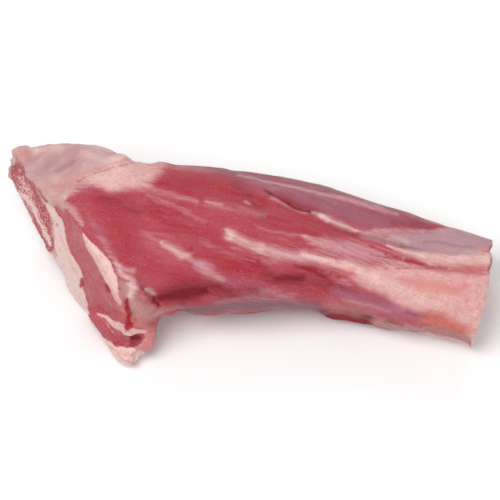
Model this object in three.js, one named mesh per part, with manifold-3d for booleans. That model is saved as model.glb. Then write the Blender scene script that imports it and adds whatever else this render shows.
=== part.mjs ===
// A raw lamb shank lying on its side: the lower hind leg, cut through the knee at one end and sawn
// off above the hock at the other. Millimetres, +Z up. +X runs from the knee cut to the hock cut and
// -Y is the side towards the viewer. The origin is on the resting plane, under the middle of the box.
//
// The outline is one loft of sheared sections, so that its first section lies in the slanting knee
// cut and its last in the hock cut. The tissues are cut out of it: the bone that runs through, the
// fat over the knee, the wedge of fat beside the bone, the fat along the rim of the cut and the meat
// that is left. A fold of meat and fat with a rolled lobe hangs at the near corner of the knee cut.
import * as THREE from "three";
import { mergeVertices } from "three/addons/utils/BufferGeometryUtils.js";
import Module from "manifold-3d";

const wasm = await Module();
wasm.setup();

// ---- driving dimensions ----
const calfWidth = 76; // widest part of the muscle, across
const calfHeight = 57;
const hockWidth = 56; // across the sawn end
const hockHeight = 34;
const kneeX = -87; // middle of the knee cut, along the shank
const hockX = 112;
const kneeSlant = 0.67; // run of the knee cut towards the hock for each mm towards the viewer
const kneeLean = 0.12; // and for each mm of height
const kneeReach = 30; // over which the outline of the knee cut passes into an oval
const clearance = 0.3; // kept between two tissues that touch
const capThickness = 4.5; // of the fat over the knee
const rimThickness = 3.2; // of the fat along the rim of the cut
const boneCover = 1.4; // least flesh over the bone
const wedgeDepth = 38; // of the fat beside the bone, into the shank

// ---- mesh fineness ----
const girthSteps = 60;
const lengthSteps = 44;
const boneGirthSteps = 20;
const boneLengthSteps = 16;

// Rim of the knee cut: y and z of a smooth closed line, from the far tip over the top to the near
// corner and back along the underside.
const kneeRim = [
  [19.8, 34.5],
  [17.3, 42.5],
  [13, 48.5],
  [4, 44],
  [-12, 49],
  [-25, 57],
  [-43, 55.5],
  [-60, 47],
  [-69, 30],
  [-70, 8],
  [-60, 0],
  [-42, 2],
  [-19, 9],
  [1, 22],
];

// Sections of the outline. x, y and z place the middle, half and rise are the half width and half
// height, roll lifts the far side in degrees, slant and lean shear it, and power squares the oval.
// What a section leaves out is as in plain.
const sections = [
  { x: kneeX, y: -26, z: 29, half: 47, rise: 25, roll: 12, slant: kneeSlant, lean: kneeLean, power: 2.4 },
  { x: -72, y: -22, z: 28, half: 45, rise: 27, roll: 9, slant: 0.6, lean: 0.12, power: 2.3 },
  { x: -50, y: -19.5, z: 28, half: 39, rise: 28.5, roll: 5, slant: 0.45, lean: 0.08, power: 2.2 },
  { x: -24, y: -20.5, z: 28, half: calfWidth / 2, rise: calfHeight / 2, roll: 2, slant: 0.25, lean: 0.03 },
  { x: -5, y: -21, z: 27.5, half: 37.5, rise: calfHeight / 2, slant: 0.1 },
  { x: 15, y: -20.5, z: 26, half: 35, rise: 26.5 },
  { x: 34, y: -22, z: 25, half: 33, rise: 24 },
  { x: 53, y: -26, z: 23.5, half: 30.5, rise: 21.5, slant: -0.03, lean: 0.02 },
  { x: 73, y: -32, z: 21, half: 30, rise: 20, slant: -0.08, lean: 0.05, power: 2.2 },
  { x: 92, y: -38, z: 18.5, half: 28.5, rise: 18.5, slant: -0.13, lean: 0.08, power: 2.3 },
  { x: hockX, y: -43.5, z: 17, half: hockWidth / 2, rise: hockHeight / 2, slant: -0.17, lean: 0.1, power: 2.4 },
];

// Where a point of a section's plane lies along the shank.
function cutX(section, y, z) {
  const s = sections[section];
  return s.x - s.slant * (y - s.y) + s.lean * (z - s.z);
}

// Sections of the bone, from its sawn head in the knee cut to the sawn end at the hock.
const boneSections = [
  {
    x: cutX(0, 0, 28.5), y: 0, z: 28.5, half: 24, rise: 16.5,
    roll: 40, slant: kneeSlant, lean: kneeLean, power: 1.6,
  },
  { x: -80, y: -3, z: 31, half: 18, rise: 13, roll: 28, slant: 0.55, lean: 0.1, power: 2.2 },
  { x: -36, y: -11, z: 27, half: 11, rise: 10, roll: 10, slant: 0.3, power: 2 },
  { x: 20, y: -18, z: 23, half: 9, rise: 8.5, power: 2 },
  { x: 70, y: -31, z: 19, half: 9.5, rise: 8, slant: -0.08, lean: 0.05, power: 2 },
  { x: cutX(10, -43, 16.5), y: -43, z: 16.5, half: 12.5, rise: 9.5, slant: -0.17, lean: 0.1, power: 2.2 },
];

// ---- smooth values along the shank ----
const fields = ["y", "z", "half", "rise", "roll", "slant", "lean", "power"];
const plain = { roll: 0, slant: 0, lean: 0, power: 2.1 };

// Reads rows of numbers at places along the shank as smooth curves.
function smooth(places, rows) {
  const curve = new THREE.CubicInterpolant(places, rows.flat(), rows[0].length);
  return (place) => [...curve.evaluate(THREE.MathUtils.clamp(place, places[0], places.at(-1)))];
}

// Reads a list of sections at any place along the shank.
function sectionReader(list) {
  const read = smooth(
    list.map((s) => s.x),
    list.map((s) => fields.map((f) => ({ ...plain, ...s })[f])),
  );
  return (x) => {
    const values = read(x);
    return Object.fromEntries(fields.map((f, i) => [f, values[i]]));
  };
}

const outlineAt = sectionReader(sections);
const boneAt = sectionReader(boneSections);

function ovalRadius(s, girth) {
  const angle = THREE.MathUtils.degToRad(girth - s.roll);
  const across = Math.abs(Math.cos(angle) / s.half) ** s.power;
  const upright = Math.abs(Math.sin(angle) / s.rise) ** s.power;
  return (across + upright) ** (-1 / s.power);
}

// ---- the rim of the knee cut, as a radius about the middle of the first section ----
const rimLine = rimByGirth(sections[0]);

function rimByGirth(middle) {
  const points = kneeRim.map(([y, z]) => new THREE.Vector3(y - middle.y, z - middle.z, 0));
  const line = new THREE.CatmullRomCurve3(points, true, "centripetal").getPoints(360);
  const polar = line.map((p) => [wholeTurn(THREE.MathUtils.radToDeg(Math.atan2(p.y, p.x))), p.length()]);
  return polar.sort((a, b) => a[0] - b[0]);
}

function wholeTurn(degrees) {
  return THREE.MathUtils.euclideanModulo(degrees, 360);
}

function rimRadius(girth) {
  const angle = wholeTurn(girth);
  const next = rimLine.findIndex((p) => p[0] >= angle);
  const after = next < 0 ? [rimLine[0][0] + 360, rimLine[0][1]] : rimLine[next];
  const before = next > 0 ? rimLine[next - 1] : rimLine.at(-1);
  const gap = wholeTurn(after[0] - before[0]);
  const part = gap > 0 ? wholeTurn(angle - before[0]) / gap : 0;
  return THREE.MathUtils.lerp(before[1], after[1], part);
}

// ---- relief of the muscles ----

// A long form along the shank: height in mm, below zero for a crease, at a girth in degrees that
// changes along its length. Girth 0 is the far side, 90 the top and 180 the near side.
function longForm(from, to, girths, width, height) {
  const places = girths.map((_, i) => THREE.MathUtils.lerp(from, to, i / (girths.length - 1)));
  const girthAt = smooth(places, girths.map((g) => [g]));
  const taper = 0.22 * (to - from);
  return (x, girth, radius) => {
    const turn = wholeTurn(girth - girthAt(x)[0] + 180) - 180;
    const across = THREE.MathUtils.degToRad(turn) * radius;
    const rise = THREE.MathUtils.smoothstep(x, from, from + taper);
    const fall = THREE.MathUtils.smoothstep(x, to - taper, to);
    return height * rise * (1 - fall) * Math.exp(-((across / width) ** 2));
  };
}

const reliefs = [
  longForm(-100, -43, [42, 38, 34], 15, 8.5), // swelling of the fat over the knee
  longForm(-28, 60, [70, 80, 96, 108], 4, -2.6), // crease under the rear muscle
  longForm(-40, 50, [88, 92, 100, 112], 13, 1.6), // upper belly
  longForm(-60, 30, [140, 145, 150, 150], 16, 1.6), // main belly
  longForm(-80, -12, [204, 210, 214, 208], 6, -3.4), // crease of the near flank
  longForm(70, 140, [95, 88, 84, 84], 3.5, -2.4), // groove beside the hock tendon
  longForm(60, 140, [50, 48, 50, 50], 10, 1.4), // hock tendon
  longForm(30, 80, [216, 217, 218], 4.5, 5), // torn meat under the near side
];

function reliefAt(x, girth, radius) {
  return reliefs.reduce((sum, form) => sum + form(x, girth, radius), 0);
}

// ---- lofts ----

// The point at a radius and girth of a section, which is pushed on along x beyond either end.
function sectionPoint(s, x, girth, radius) {
  const angle = THREE.MathUtils.degToRad(girth);
  const across = radius * Math.cos(angle);
  const height = Math.max(0, s.z + radius * Math.sin(angle));
  return new THREE.Vector3(x - s.slant * across + s.lean * (height - s.z), s.y + across, height);
}

function outlinePoint(x, girth, inset) {
  const s = outlineAt(x);
  const toOval = THREE.MathUtils.smoothstep(x, kneeX, kneeX + kneeReach);
  const radius = THREE.MathUtils.lerp(rimRadius(girth), ovalRadius(s, girth), toOval);
  return sectionPoint(s, x, girth, radius + reliefAt(x, girth, radius) - inset);
}

function bonePoint(x, girth, grow) {
  const s = boneAt(x);
  return sectionPoint(s, x, girth, ovalRadius(s, girth) + grow);
}

// A closed cylinder bent onto point(x, girth), from one place along the shank to another, with one
// more ring past each end.
function loft(around, along, from, to, past, point) {
  const rings = past > 0 ? along + 2 : along;
  const merged = bare(new THREE.CylinderGeometry(1, 1, 1, around, rings));
  const position = merged.getAttribute("position");
  const at = new THREE.Vector3();
  for (let i = 0; i < position.count; i++) {
    at.fromBufferAttribute(position, i);
    const ring = Math.round((at.y + 0.5) * rings) - (past > 0 ? 1 : 0);
    const over = ring < 0 ? -past : ring > along ? past : 0;
    const x = THREE.MathUtils.lerp(from, to, THREE.MathUtils.clamp(ring / along, 0, 1)) + over;
    const girth = THREE.MathUtils.radToDeg(Math.atan2(at.z, at.x));
    const moved = Math.hypot(at.x, at.z) < 0.5 ? rimMiddle(point, x, around) : point(x, girth);
    position.setXYZ(i, moved.x, moved.y, moved.z);
  }
  return solid(merged);
}

function bare(geometry) {
  geometry.deleteAttribute("normal");
  geometry.deleteAttribute("uv");
  return mergeVertices(geometry);
}

// The middle of an end of a loft.
function rimMiddle(point, x, around) {
  const middle = new THREE.Vector3();
  for (let i = 0; i < around; i++) middle.add(point(x, (360 * i) / around));
  return middle.divideScalar(around);
}

// A patch of the outline, as thick as depth(u, v) and standing out beyond it, with u along the shank
// and v round it, both from -1 to 1. chart(u, v) gives x and girth.
function patch(steps, chart, depth) {
  const merged = bare(new THREE.BoxGeometry(2, 2, 2, steps[0], steps[1], 1));
  const position = merged.getAttribute("position");
  const at = new THREE.Vector3();
  for (let i = 0; i < position.count; i++) {
    at.fromBufferAttribute(position, i);
    const u = at.x * Math.sqrt(1 - at.y ** 2 / 2);
    const v = at.y * Math.sqrt(1 - at.x ** 2 / 2);
    const [x, girth] = chart(u, v);
    const moved = outlinePoint(x, girth, at.z > 0 ? -6 : depth(u, v));
    position.setXYZ(i, moved.x, moved.y, moved.z);
  }
  return solid(merged);
}

// A rounded lump with half sizes, turned by degrees about x, y and z.
function lump(size, middle, turn, grow) {
  const merged = bare(new THREE.SphereGeometry(1, 20, 14));
  merged.scale(size[0] + grow, size[1] + grow, size[2] + grow);
  const turned = new THREE.Euler(...turn.map(THREE.MathUtils.degToRad));
  merged.applyMatrix4(new THREE.Matrix4().makeRotationFromEuler(turned));
  merged.translate(...middle);
  return solid(merged);
}

function solid(geometry) {
  const made = manifold(geometry);
  return made.volume() < 0 ? manifold(insideOut(geometry)) : made;
}

function manifold(geometry) {
  const vertProperties = new Float32Array(geometry.getAttribute("position").array);
  const triVerts = new Uint32Array(geometry.index.array);
  return new wasm.Manifold(new wasm.Mesh({ numProp: 3, vertProperties, triVerts }));
}

function insideOut(geometry) {
  const index = geometry.index.array;
  for (let i = 0; i < index.length; i += 3) {
    [index[i + 1], index[i + 2]] = [index[i + 2], index[i + 1]];
  }
  return geometry;
}

// ---- tissues ----
function outline(inset, past) {
  return loft(girthSteps, lengthSteps, kneeX, hockX, past, (x, girth) => outlinePoint(x, girth, inset));
}

function bone(grow, past) {
  const from = boneSections[0].x;
  const to = boneSections.at(-1).x;
  const stem = loft(boneGirthSteps, boneLengthSteps, from, to, past, (x, girth) => bonePoint(x, girth, grow));
  return stem.intersect(outline(boneCover - grow, past));
}

// Fat over the knee, from the far side to the top.
function cap(grow) {
  const chart = (u, v) => [-78 + (26 + grow) * u + 4 * v, 30 + (56 + 3 * grow) * v - 6 * u];
  return patch([10, 14], chart, (u, v) => grow + capThickness * (1 - 0.6 * (u * u + v * v)));
}

// Fat along the near rim of the knee cut.
function rim(grow) {
  const chart = (u, v) => [-89 + (8 + grow) * u, 150 + (38 + 2 * grow) * v];
  return patch([6, 14], chart, (u, v) => grow + rimThickness * (1 - 0.6 * (u * u + v * v)));
}

// Wedge of fat beside the bone, tapering into the shank.
function wedge(grow) {
  return loft(24, 6, kneeX, kneeX + wedgeDepth, 8, (x, girth) => {
    const part = THREE.MathUtils.clamp((x - kneeX) / wedgeDepth, 0, 1);
    const size = { half: 34 - 19 * part, rise: 11 - 7 * part, roll: 62, power: 2 };
    const s = { y: -26, z: 18, slant: kneeSlant, lean: kneeLean, ...size };
    return sectionPoint(s, x, girth, ovalRadius(s, girth) + grow);
  });
}

const flapLobe = (grow) => lump([6, 8.5, 9.5], [-51.5, -64.5, 12], [-25, 0, 0], grow);
const flapFat = (grow) => lump([9.5, 11, 6], [-58.6, -67.6, 6.6], [0, 0, -30], grow);
const flapMeat = (grow) => lump([17, 7, 7], [-64, -58, 10], [0, 0, -38], grow);

// Each tissue gives way, by the clearance, to those before it.
const whole = outline(0, 0);
const fold = flapLobe(clearance).add(flapFat(clearance)).add(flapMeat(clearance));
const core = bone(clearance, 4);
const capRoom = cap(clearance);
const rimRoom = rim(clearance);
const capFat = whole.intersect(cap(0)).subtract(core);
const rimFat = whole.intersect(rim(0)).subtract(capRoom).subtract(fold);
const pastRims = whole.subtract(core).subtract(capRoom).subtract(rimRoom).subtract(fold);
const wedgeFat = pastRims.intersect(wedge(0));
const meat = pastRims.subtract(wedge(clearance));
const hangingFat = flapFat(0).subtract(flapLobe(clearance));
const foldMeat = flapMeat(0).subtract(flapLobe(clearance)).subtract(flapFat(clearance));

function part(name, shape, colour, roughness) {
  const { vertProperties, triVerts } = shape.getMesh();
  const geometry = new THREE.BufferGeometry();
  geometry.setAttribute("position", new THREE.BufferAttribute(vertProperties, 3));
  geometry.setIndex(new THREE.BufferAttribute(triVerts, 1));
  geometry.computeVertexNormals();
  const material = new THREE.MeshStandardMaterial({ color: colour, roughness, metalness: 0 });
  const mesh = new THREE.Mesh(geometry, material);
  mesh.name = name;
  return mesh;
}

const shank = new THREE.Group();
shank.name = "lamb_shank";
shank.add(
  part("shank_meat", meat, 0xae4a54, 0.4),
  part("shank_bone", bone(0, 0), 0xc98d84, 0.6),
  part("fat_cap", capFat, 0xdcb2b0, 0.45),
  part("wedge_fat", wedgeFat, 0xe6c9c2, 0.45),
  part("rim_fat", rimFat, 0xe3bdb6, 0.45),
  part("flap_meat", foldMeat, 0xbb6069, 0.4),
  part("flap_fat", hangingFat, 0xe4bdb5, 0.45),
  part("flap_lobe", flapLobe(0), 0xce8079, 0.4),
);
const box = new THREE.Box3().setFromObject(shank);
const middle = box.getCenter(new THREE.Vector3());
shank.position.set(-middle.x, -middle.y, -box.min.z);
export default shank;
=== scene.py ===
import math
from collections import namedtuple

import bpy
import numpy as np
from bpy.props import FloatProperty, FloatVectorProperty, PointerProperty
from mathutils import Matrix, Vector
from mathutils.bvhtree import BVHTree


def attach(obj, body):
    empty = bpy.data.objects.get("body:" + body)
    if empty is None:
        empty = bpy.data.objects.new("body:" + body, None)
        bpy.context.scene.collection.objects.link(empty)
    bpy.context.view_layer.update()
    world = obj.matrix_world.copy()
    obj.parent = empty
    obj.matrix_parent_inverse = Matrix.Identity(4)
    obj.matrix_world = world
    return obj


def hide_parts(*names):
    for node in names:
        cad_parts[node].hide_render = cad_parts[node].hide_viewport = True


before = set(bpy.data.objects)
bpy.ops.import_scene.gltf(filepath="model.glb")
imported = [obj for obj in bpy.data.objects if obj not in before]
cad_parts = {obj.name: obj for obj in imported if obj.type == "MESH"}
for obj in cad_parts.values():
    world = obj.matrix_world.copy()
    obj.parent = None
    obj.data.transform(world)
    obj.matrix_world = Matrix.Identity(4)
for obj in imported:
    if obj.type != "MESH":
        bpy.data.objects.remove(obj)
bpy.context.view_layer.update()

bl_info = {
    "name": "Raw lamb shank",
    "version": (1, 0, 0),
    "blender": (4, 5, 0),
    "location": "View3D > Sidebar > Shank",
    "description": "Builds the flesh and the bone of a raw lamb shank round its packed solids",
    "category": "Add Mesh",
}

MM = 0.001
FLESH_NODES = ("shank_meat", "fat_cap", "wedge_fat", "rim_fat", "flap_meat", "flap_fat", "flap_lobe")

# ---- how the shank lies, in mm ----
# Leg coordinates have their zero this far behind the frame's middle.
LEG_TO_FRAME = np.array([-0.08, 27.16, 0])
# The picture is taken from this rise above the table, in degrees, and turned on this point.
PICTURE_RISE = 55.0
PICTURE_MIDDLE = np.array([0, -23.37, 25.1])
# Width of the picture at that point.
PICTURE_WIDTH = 241.75
# The picture's own zero lies this far above its middle.
PICTURE_ZERO = 4.75
# Rounded parts, across and up, of the direction up the picture and of the one towards the viewer.
UP_ACROSS, UP_HEIGHT = 0.8192, 0.5736
TOWARD_VIEWER = np.array([-UP_HEIGHT, UP_ACROSS])
# Middle line of the leg: place along, across and height.
MIDDLE_LINE = (
    (-118, -6, 30), (-100, -12, 29), (-87, -19, 28), (-50, -20, 28), (0, -21, 27), (34, -22, 25),
    (53, -26, 23.5), (73, -32, 21), (92, -38, 18.5), (118, -44, 17),
)
# How far the muscle winds round the leg, in degrees, at places along it.
MUSCLE_TWIST = ((-118, -34), (-60, -18), (0, 4), (40, 18), (80, 27), (118, 30))
# A cut is a plane: a point on it, and its slopes along, across and up.
KNEE_CUT = ((-87, -26, 29), (1, 0.67, -0.12))
HOCK_CUT = ((112, -43.5, 17), (-1, 0.17, 0.1))

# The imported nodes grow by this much, in metres, before they are joined, so that no gap stays between them.
FLESH_SWELL = 0.0002
BONE_SWELL = 0.0004
# A remesh with fewer faces than this has gone wrong.
FLESH_FACES_MIN = 10000
BONE_FACES_MIN = 1000
# The bone's end is looked for this far in from a cut, for vertices no deeper than the reach.
SEAT_PROBE = 4
SEAT_REACH = 2.5
# The underside stays this far above the table.
FLOOR_GAP = 0.02
# The edge of a bone face is measured in sectors of this many degrees.
RIM_SECTOR = 6

# ---- marks on the picture side ----
# A streak is a line of points (along the shank, up the picture, half width), in mm.
Streak = namedtuple("Streak", "name strength points")


def streaks(*rows):
    """Streaks from rows of name, strength and points."""
    return tuple(Streak(name, strength, points) for name, strength, *points in rows)


STREAKS = {
    "pale": streaks(
        ("main streak upper strand", 0.62, (-11, 4, 1.5), (-7, 2.5, 1.7), (-2, -0.5, 1.9), (6, -4, 1.9),
         (12, -6, 1.7), (19.5, -7.5, 1.6), (26, -8, 1.5)),
        ("main streak lower strand", 0.5, (-11, 1.5, 1), (-5, -1, 1.2), (1, -4, 1.2), (7, -6.5, 1.1),
         (14.5, -8, 1)),
        ("main streak root", 0.45, (-11.5, 4, 1.1), (-10.5, 2, 1.1)),
        ("streak to the hock", 0.98, (26, -7.5, 1.5), (33, -9, 1.5), (40.5, -10.5, 1.6), (48.5, -13, 2)),
        ("pale shoulder", 0.95, (46.5, -11.5, 1.5), (51.5, -14, 2.4), (56, -16.5, 3.1), (63.5, -20.5, 3.4),
         (73.5, -24.5, 3.4), (84, -29, 3.1), (92, -31.5, 2.4)),
        ("second streak", 0.6, (-42.5, -1.5, 0.9), (-37.5, -4.5, 1.6), (-33, -7.5, 1.8), (-29, -7.5, 1.3)),
        ("lead-in", 0.14, (-53, 4.5, 0.5), (-47.5, 1.5, 0.6), (-42.5, -1.5, 0.7)),
        ("upper seam", 0.26, (-51.5, 25, 0.9), (-42, 23, 0.8), (-33.5, 21, 0.8), (-27, 19, 0.9)),
        ("upper seam middle", 0.4, (-22, 19, 0.8), (-17.5, 18, 1.1), (-12.5, 17, 0.9)),
        ("upper seam end", 0.16, (-11.5, 16, 1), (-3, 14, 1), (8, 11.5, 1)),
        ("dash", 0.4, (-1.5, 18.5, 0.5), (1, 17, 0.5)),
        ("scratch a", 0.2, (-50, 22, 0.4), (-38.5, 18, 0.5), (-29, 13, 0.5), (-23, 9, 0.7)),
        ("scratch b", 0.14, (-48.5, 20, 0.4), (-36, 15.5, 0.4), (-26, 10, 0.4)),
        ("thin line", 0.2, (2.5, 7, 0.4), (9.5, 4, 0.4), (25, 1.5, 0.4), (34.5, 0, 0.5), (43.5, -3, 0.5)),
        ("tendon streak", 0.68, (30, 13, 0.5), (33, 12, 0.8), (36.5, 10, 1), (45, 7, 1), (52, 4.5, 0.9)),
        ("tendon streak end", 0.4, (53, 4.5, 1), (61.5, 2.5, 1), (72.5, 0, 1), (77, -1, 0.8)),
        ("tendon band", 0.85, (66, -2, 0.3), (72, -4.5, 0.9), (78, -6.5, 1.7), (87, -8.5, 2.4),
         (97.5, -9.5, 2.9), (116, -9.5, 2.9)),
        ("crease edge line", 0.3, (9.5, 20.5, 0.4), (20, 16, 0.4), (27, 13, 0.4)),
        ("white membrane", 0.5, (-64.5, -10.5, 0.8), (-62, -15, 1.3), (-59.5, -18, 1.7), (-56, -20, 1.5)),
        ("ragged low edge", 0.2, (46.5, -29, 0.4), (54, -31, 0.6), (62, -33, 0.6), (68.5, -34.5, 0.5)),
        ("behind the cap", 1, (-65, 40, 1.9), (-59, 38.5, 2.1), (-52, 36.5, 1.5)),
    ),
    "fat": streaks(
        ("rim", 1, (-80.5, 3, 0.4), (-77.5, -2, 1.5), (-73.5, -7.5, 2.5), (-70, -13, 3.2), (-67.5, -18, 2.8),
         (-66, -22.5, 2.2), (-64.5, -27.5, 1.3), (-62.5, -30.5, 1)),
        ("flap seam", 0.85, (-73.5, -35.5, 0.5), (-69.5, -37, 1), (-65.5, -40, 1.5), (-61, -42.5, 1.7),
         (-55, -44, 1.6), (-51, -44.5, 1.2)),
        ("flap strands a", 0.6, (-72, -37.5, 0.3), (-68.5, -41.5, 0.5), (-65, -45.5, 0.3)),
        ("flap strands b", 0.55, (-69, -37.5, 0.2), (-66, -42, 0.4), (-62, -46, 0.2)),
        ("flap strands c", 0.5, (-67, -48, 0.2), (-63.5, -49.5, 0.3), (-58.5, -50.5, 0.2)),
        ("strip fleck a", 0.42, (-82.5, 7, 0.2), (-81, 3, 0.4), (-80.5, 0, 0.2)),
        ("strip fleck b", 0.42, (-79, -10.5, 0.2), (-77, -15.5, 0.4), (-75, -19.5, 0.2)),
        ("strip fleck c", 0.42, (-71, -25, 0.2), (-68.5, -29, 0.4), (-66, -33, 0.2)),
    ),
    # Pale veils of real thin membrane, and painted highlights in the same colour: the sheen streaks along
    # the top, by the hock and on the lower edge, and the light in the skin.
    "film": streaks(
        ("mauve patch", 0.58, (-28, -9, 1.5), (-24, -12.5, 2.7), (-20, -15, 2.9), (-15.5, -17.5, 1.9),
         (-12.5, -19, 1.2)),
        ("veil a", 0.7, (26, 1, 1), (34, -1.5, 2.4), (43.5, -4, 3.9), (53, -6, 4.4), (63, -7.5, 3.9),
         (72.5, -10, 2.4)),
        ("veil b", 0.3, (6, -4, 1.5), (17, -5, 1.9), (27, -6.5, 2.4), (38.5, -8.5, 2.9)),
        ("frost", 0.12, (14.5, 1, 1.5), (24, -2, 1.9), (34, -4, 2.4)),
        ("top sheen", 0.7, (-6, 31, 0.2), (6, 29, 0.5), (17, 27, 0.7), (27.5, 24.5, 0.8), (36.5, 22, 0.9),
         (46, 19.5, 0.9), (54, 17.5, 0.9), (65, 14.5, 0.7), (71.5, 13, 0.5)),
        ("top sheen broad", 0.15, (0, 29, 1.9), (24, 24, 2.4), (48.5, 18, 1.9)),
        ("membrane by rim", 0.4, (-72.5, 1, 1), (-68.5, -4.5, 1.4), (-65, -10, 1.9), (-61.5, -15, 2.4),
         (-58, -19, 1.9)),
        ("membrane high", 0.7, (-64.5, -10.5, 1), (-60, -13.5, 1.2), (-56, -14.5, 1.1)),
        ("low grey sheen", 0.3, (6, -24, 1.9), (14.5, -26, 2.9), (22, -28.5, 2.4)),
        ("below streak", 0.3, (6, -10.5, 1.5), (24, -10.5, 1.5), (38.5, -15.5, 1.7), (49.5, -21.5, 1.9)),
        ("left flank veil", 0.16, (-78.5, 12.5, 1.5), (-74.5, 5, 1.9), (-68.5, -3, 1.9)),
        ("shoulder corner", 0.7, (-89, 18, 0.8), (-86.5, 14.5, 1.9), (-84, 10, 1.5), (-82, 7, 0.8)),
        ("shoulder blend", 0.45, (-91, 21, 1), (-85, 24, 1.5), (-78.5, 27, 1.5)),
        ("mid flank", 0.15, (-24, 0, 1.5), (-12, -6, 1.9), (0, -10.5, 1.9)),
        ("bottom streaks", 0.25, (-16.5, -30, 1), (-2.5, -29, 1.5), (12, -27.5, 1.5)),
        ("sheen by the hock", 0.5, (59, 5, 0.6), (71.5, 4.5, 0.9), (84, 4, 0.8)),
        ("light in the skin", 0.5, (84, 4.5, 0.7), (92, 5, 0.7), (97.5, 4.5, 0.5)),
        ("belly frost", 0.1, (-53, 19.5, 1.9), (-41, 12, 2.9), (-24, 6, 2.9)),
        ("under the streak", 0.2, (-8.5, -4, 1.5), (0, -7.5, 1.9), (12, -10.5, 1.9)),
    ),
    "silver": streaks(
        ("along the top a", 0.82, (-48.5, 37, 1.2), (-36.5, 36.5, 1.7), (-22, 34.5, 2.4), (-7.5, 32, 3.1),
         (6, 28.5, 4.4), (19.5, 24, 6.3), (34, 19.5, 7.3), (46, 15, 7.3), (55.5, 11.5, 5.8), (65.5, 9, 4.4)),
        ("along the top b", 0.6, (65.5, 12.5, 3.4), (75, 10, 2.9), (84.5, 7, 2.4)),
    ),
    "hockskin": streaks(
        ("strands of skin a", 0.65, (57, 4.5, 0.5), (66, 3.5, 1.2), (74.5, 2, 1.9)),
        ("strands of skin b", 0.5, (53, 2, 0.5), (63, 0, 1), (71.5, -1.5, 1.3)),
    ),
    # Dark red streaks: mostly painted shade in the hollows, creases and folds and under the tendon and the
    # flap, and some real dark red tissue, such as the torn scrap at the lower edge.
    "deep": streaks(
        ("hollow core", 1.05, (-44.5, -27.5, 1.9), (-39.5, -27.5, 3.4), (-33, -27, 4.1), (-26, -25.5, 3.9),
         (-22, -24.5, 2.4)),
        ("hollow halo", 0.62, (-45, -27.5, 3.4), (-36.5, -25, 4.8), (-26.5, -24, 5.3), (-18.5, -23, 4.4),
         (-10.5, -25, 2.9)),
        ("hollow spot b", 0.75, (-22, -24, 1.5), (-18.5, -22.5, 2.1), (-14.5, -22.5, 1.7)),
        ("hollow spot c", 0.5, (-10.5, -27, 1.7), (-7, -27, 1.5)),
        ("dark line", 0.9, (-52, -24, 0.5), (-48.5, -27, 0.7), (-44.5, -30, 0.7), (-42, -32.5, 0.5)),
        ("dark lower a", 0.92, (12.5, -19, 1.7), (18.5, -19, 2.7), (25, -19.5, 2.4)),
        ("dark lower b", 0.7, (26, -13.5, 1.7), (31, -15.5, 2.4), (36.5, -17.5, 1.9)),
        ("dark lower halo", 0.45, (7.5, -17.5, 2.4), (17, -20.5, 3.9), (29, -20.5, 3.9), (41, -22, 2.9),
         (51, -24.5, 1.9)),
        ("crease band", 0.4, (12, 22.5, 1), (20, 19, 1.7), (27, 15.5, 1.7), (34, 13, 1.2)),
        ("crease line", 1.1, (7, 24.5, 0.4), (12, 21.5, 0.5), (20, 17, 0.6), (27, 14, 0.6), (33.5, 12, 0.5)),
        ("belly end", 0.45, (-7, 26, 1.9), (-3, 24, 2.1), (0, 22.5, 1.9)),
        ("belly mark", 0.24, (0.5, 19.5, 1.9), (4, 15.5, 2.1), (7, 11.5, 1.9)),
        ("under tendon", 0.4, (38.5, 7.5, 1.2), (46, 4.5, 1.5), (53, 1.5, 1.5)),
        ("left belly shade", 0.36, (-72, 20.5, 1.9), (-66.5, 19.5, 3.4), (-61, 16.5, 2.9), (-55, 14, 2.1)),
        ("left dark", 0.4, (-57.5, 15, 1.9), (-54.5, 13, 2.1)),
        ("flank hollow", 0.55, (-55, -18, 0.8), (-52.5, -21.5, 1), (-49.5, -25, 1)),
        ("scrap", 1.4, (35, -35, 1.3), (42.5, -37.5, 2.2), (49.5, -38.5, 2.5), (57, -38.5, 1.7)),
        ("scrap on", 0.5, (66, -39.5, 1), (73.5, -41.5, 1)),
        ("strip shade", 0.42, (-80.5, -21, 1.5), (-74.5, -26.5, 2.9), (-68.5, -32.5, 3.4), (-64, -37, 2.9)),
        ("flap shade", 0.45, (-70.5, -42, 1.9), (-66, -46, 2.4), (-60, -49, 2.4), (-54, -49.5, 1.9)),
        ("right upper red", 0.35, (70, 8.5, 2.4), (78.5, 7, 2.4), (86, 5.5, 1.9)),
        ("low strip red", 0.5, (76.5, -34.5, 1), (81, -36.5, 1.1), (86, -37.5, 0.9)),
        ("lobe crease", 0.7, (-58.5, -36.5, 0.5), (-52.5, -39.5, 0.6), (-48, -42, 0.6)),
        ("over the grey", 0.4, (-13.5, -27.5, 2.4), (-5, -25, 2.4), (6, -23.5, 1.9)),
        ("in the plum", 0.25, (49.5, -26, 1.9), (59, -28.5, 2.4), (67.5, -30.5, 1.9)),
        ("under the veil", 0.3, (33, -7, 1), (46, -10.5, 1), (59, -10.5, 0.8)),
        ("gash shade", 1, (-58, -32, 0.6), (-57.5, -36, 0.8), (-57.5, -39.5, 0.7)),
        ("membrane fold", 0.7, (-52.5, -22.5, 0.5), (-50.5, -24, 0.6)),
        ("fold", 0.8, (-57.5, -47, 1.3), (-54.5, -49, 1.5), (-52.5, -51, 1.1)),
        ("membrane line", 1.2, (-49.5, -24.5, 0.5), (-46, -29, 0.7), (-43.5, -32.5, 0.6)),
    ),
    "bright": streaks(
        ("belly B", 1.1, (-43.5, 27.5, 1.5), (-35, 27, 3.9), (-24, 25.5, 4.8), (-13.5, 24, 5.3),
         (-3, 22, 4.4), (6, 18, 3.9)),
        ("under belly B", 0.5, (2.5, 13, 3.9), (12, 9.5, 4.4), (22, 6, 3.9), (31.5, 2, 2.9)),
        ("right upper", 0.6, (14.5, 17, 2.4), (24, 11.5, 2.9), (34, 7, 2.4)),
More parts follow.
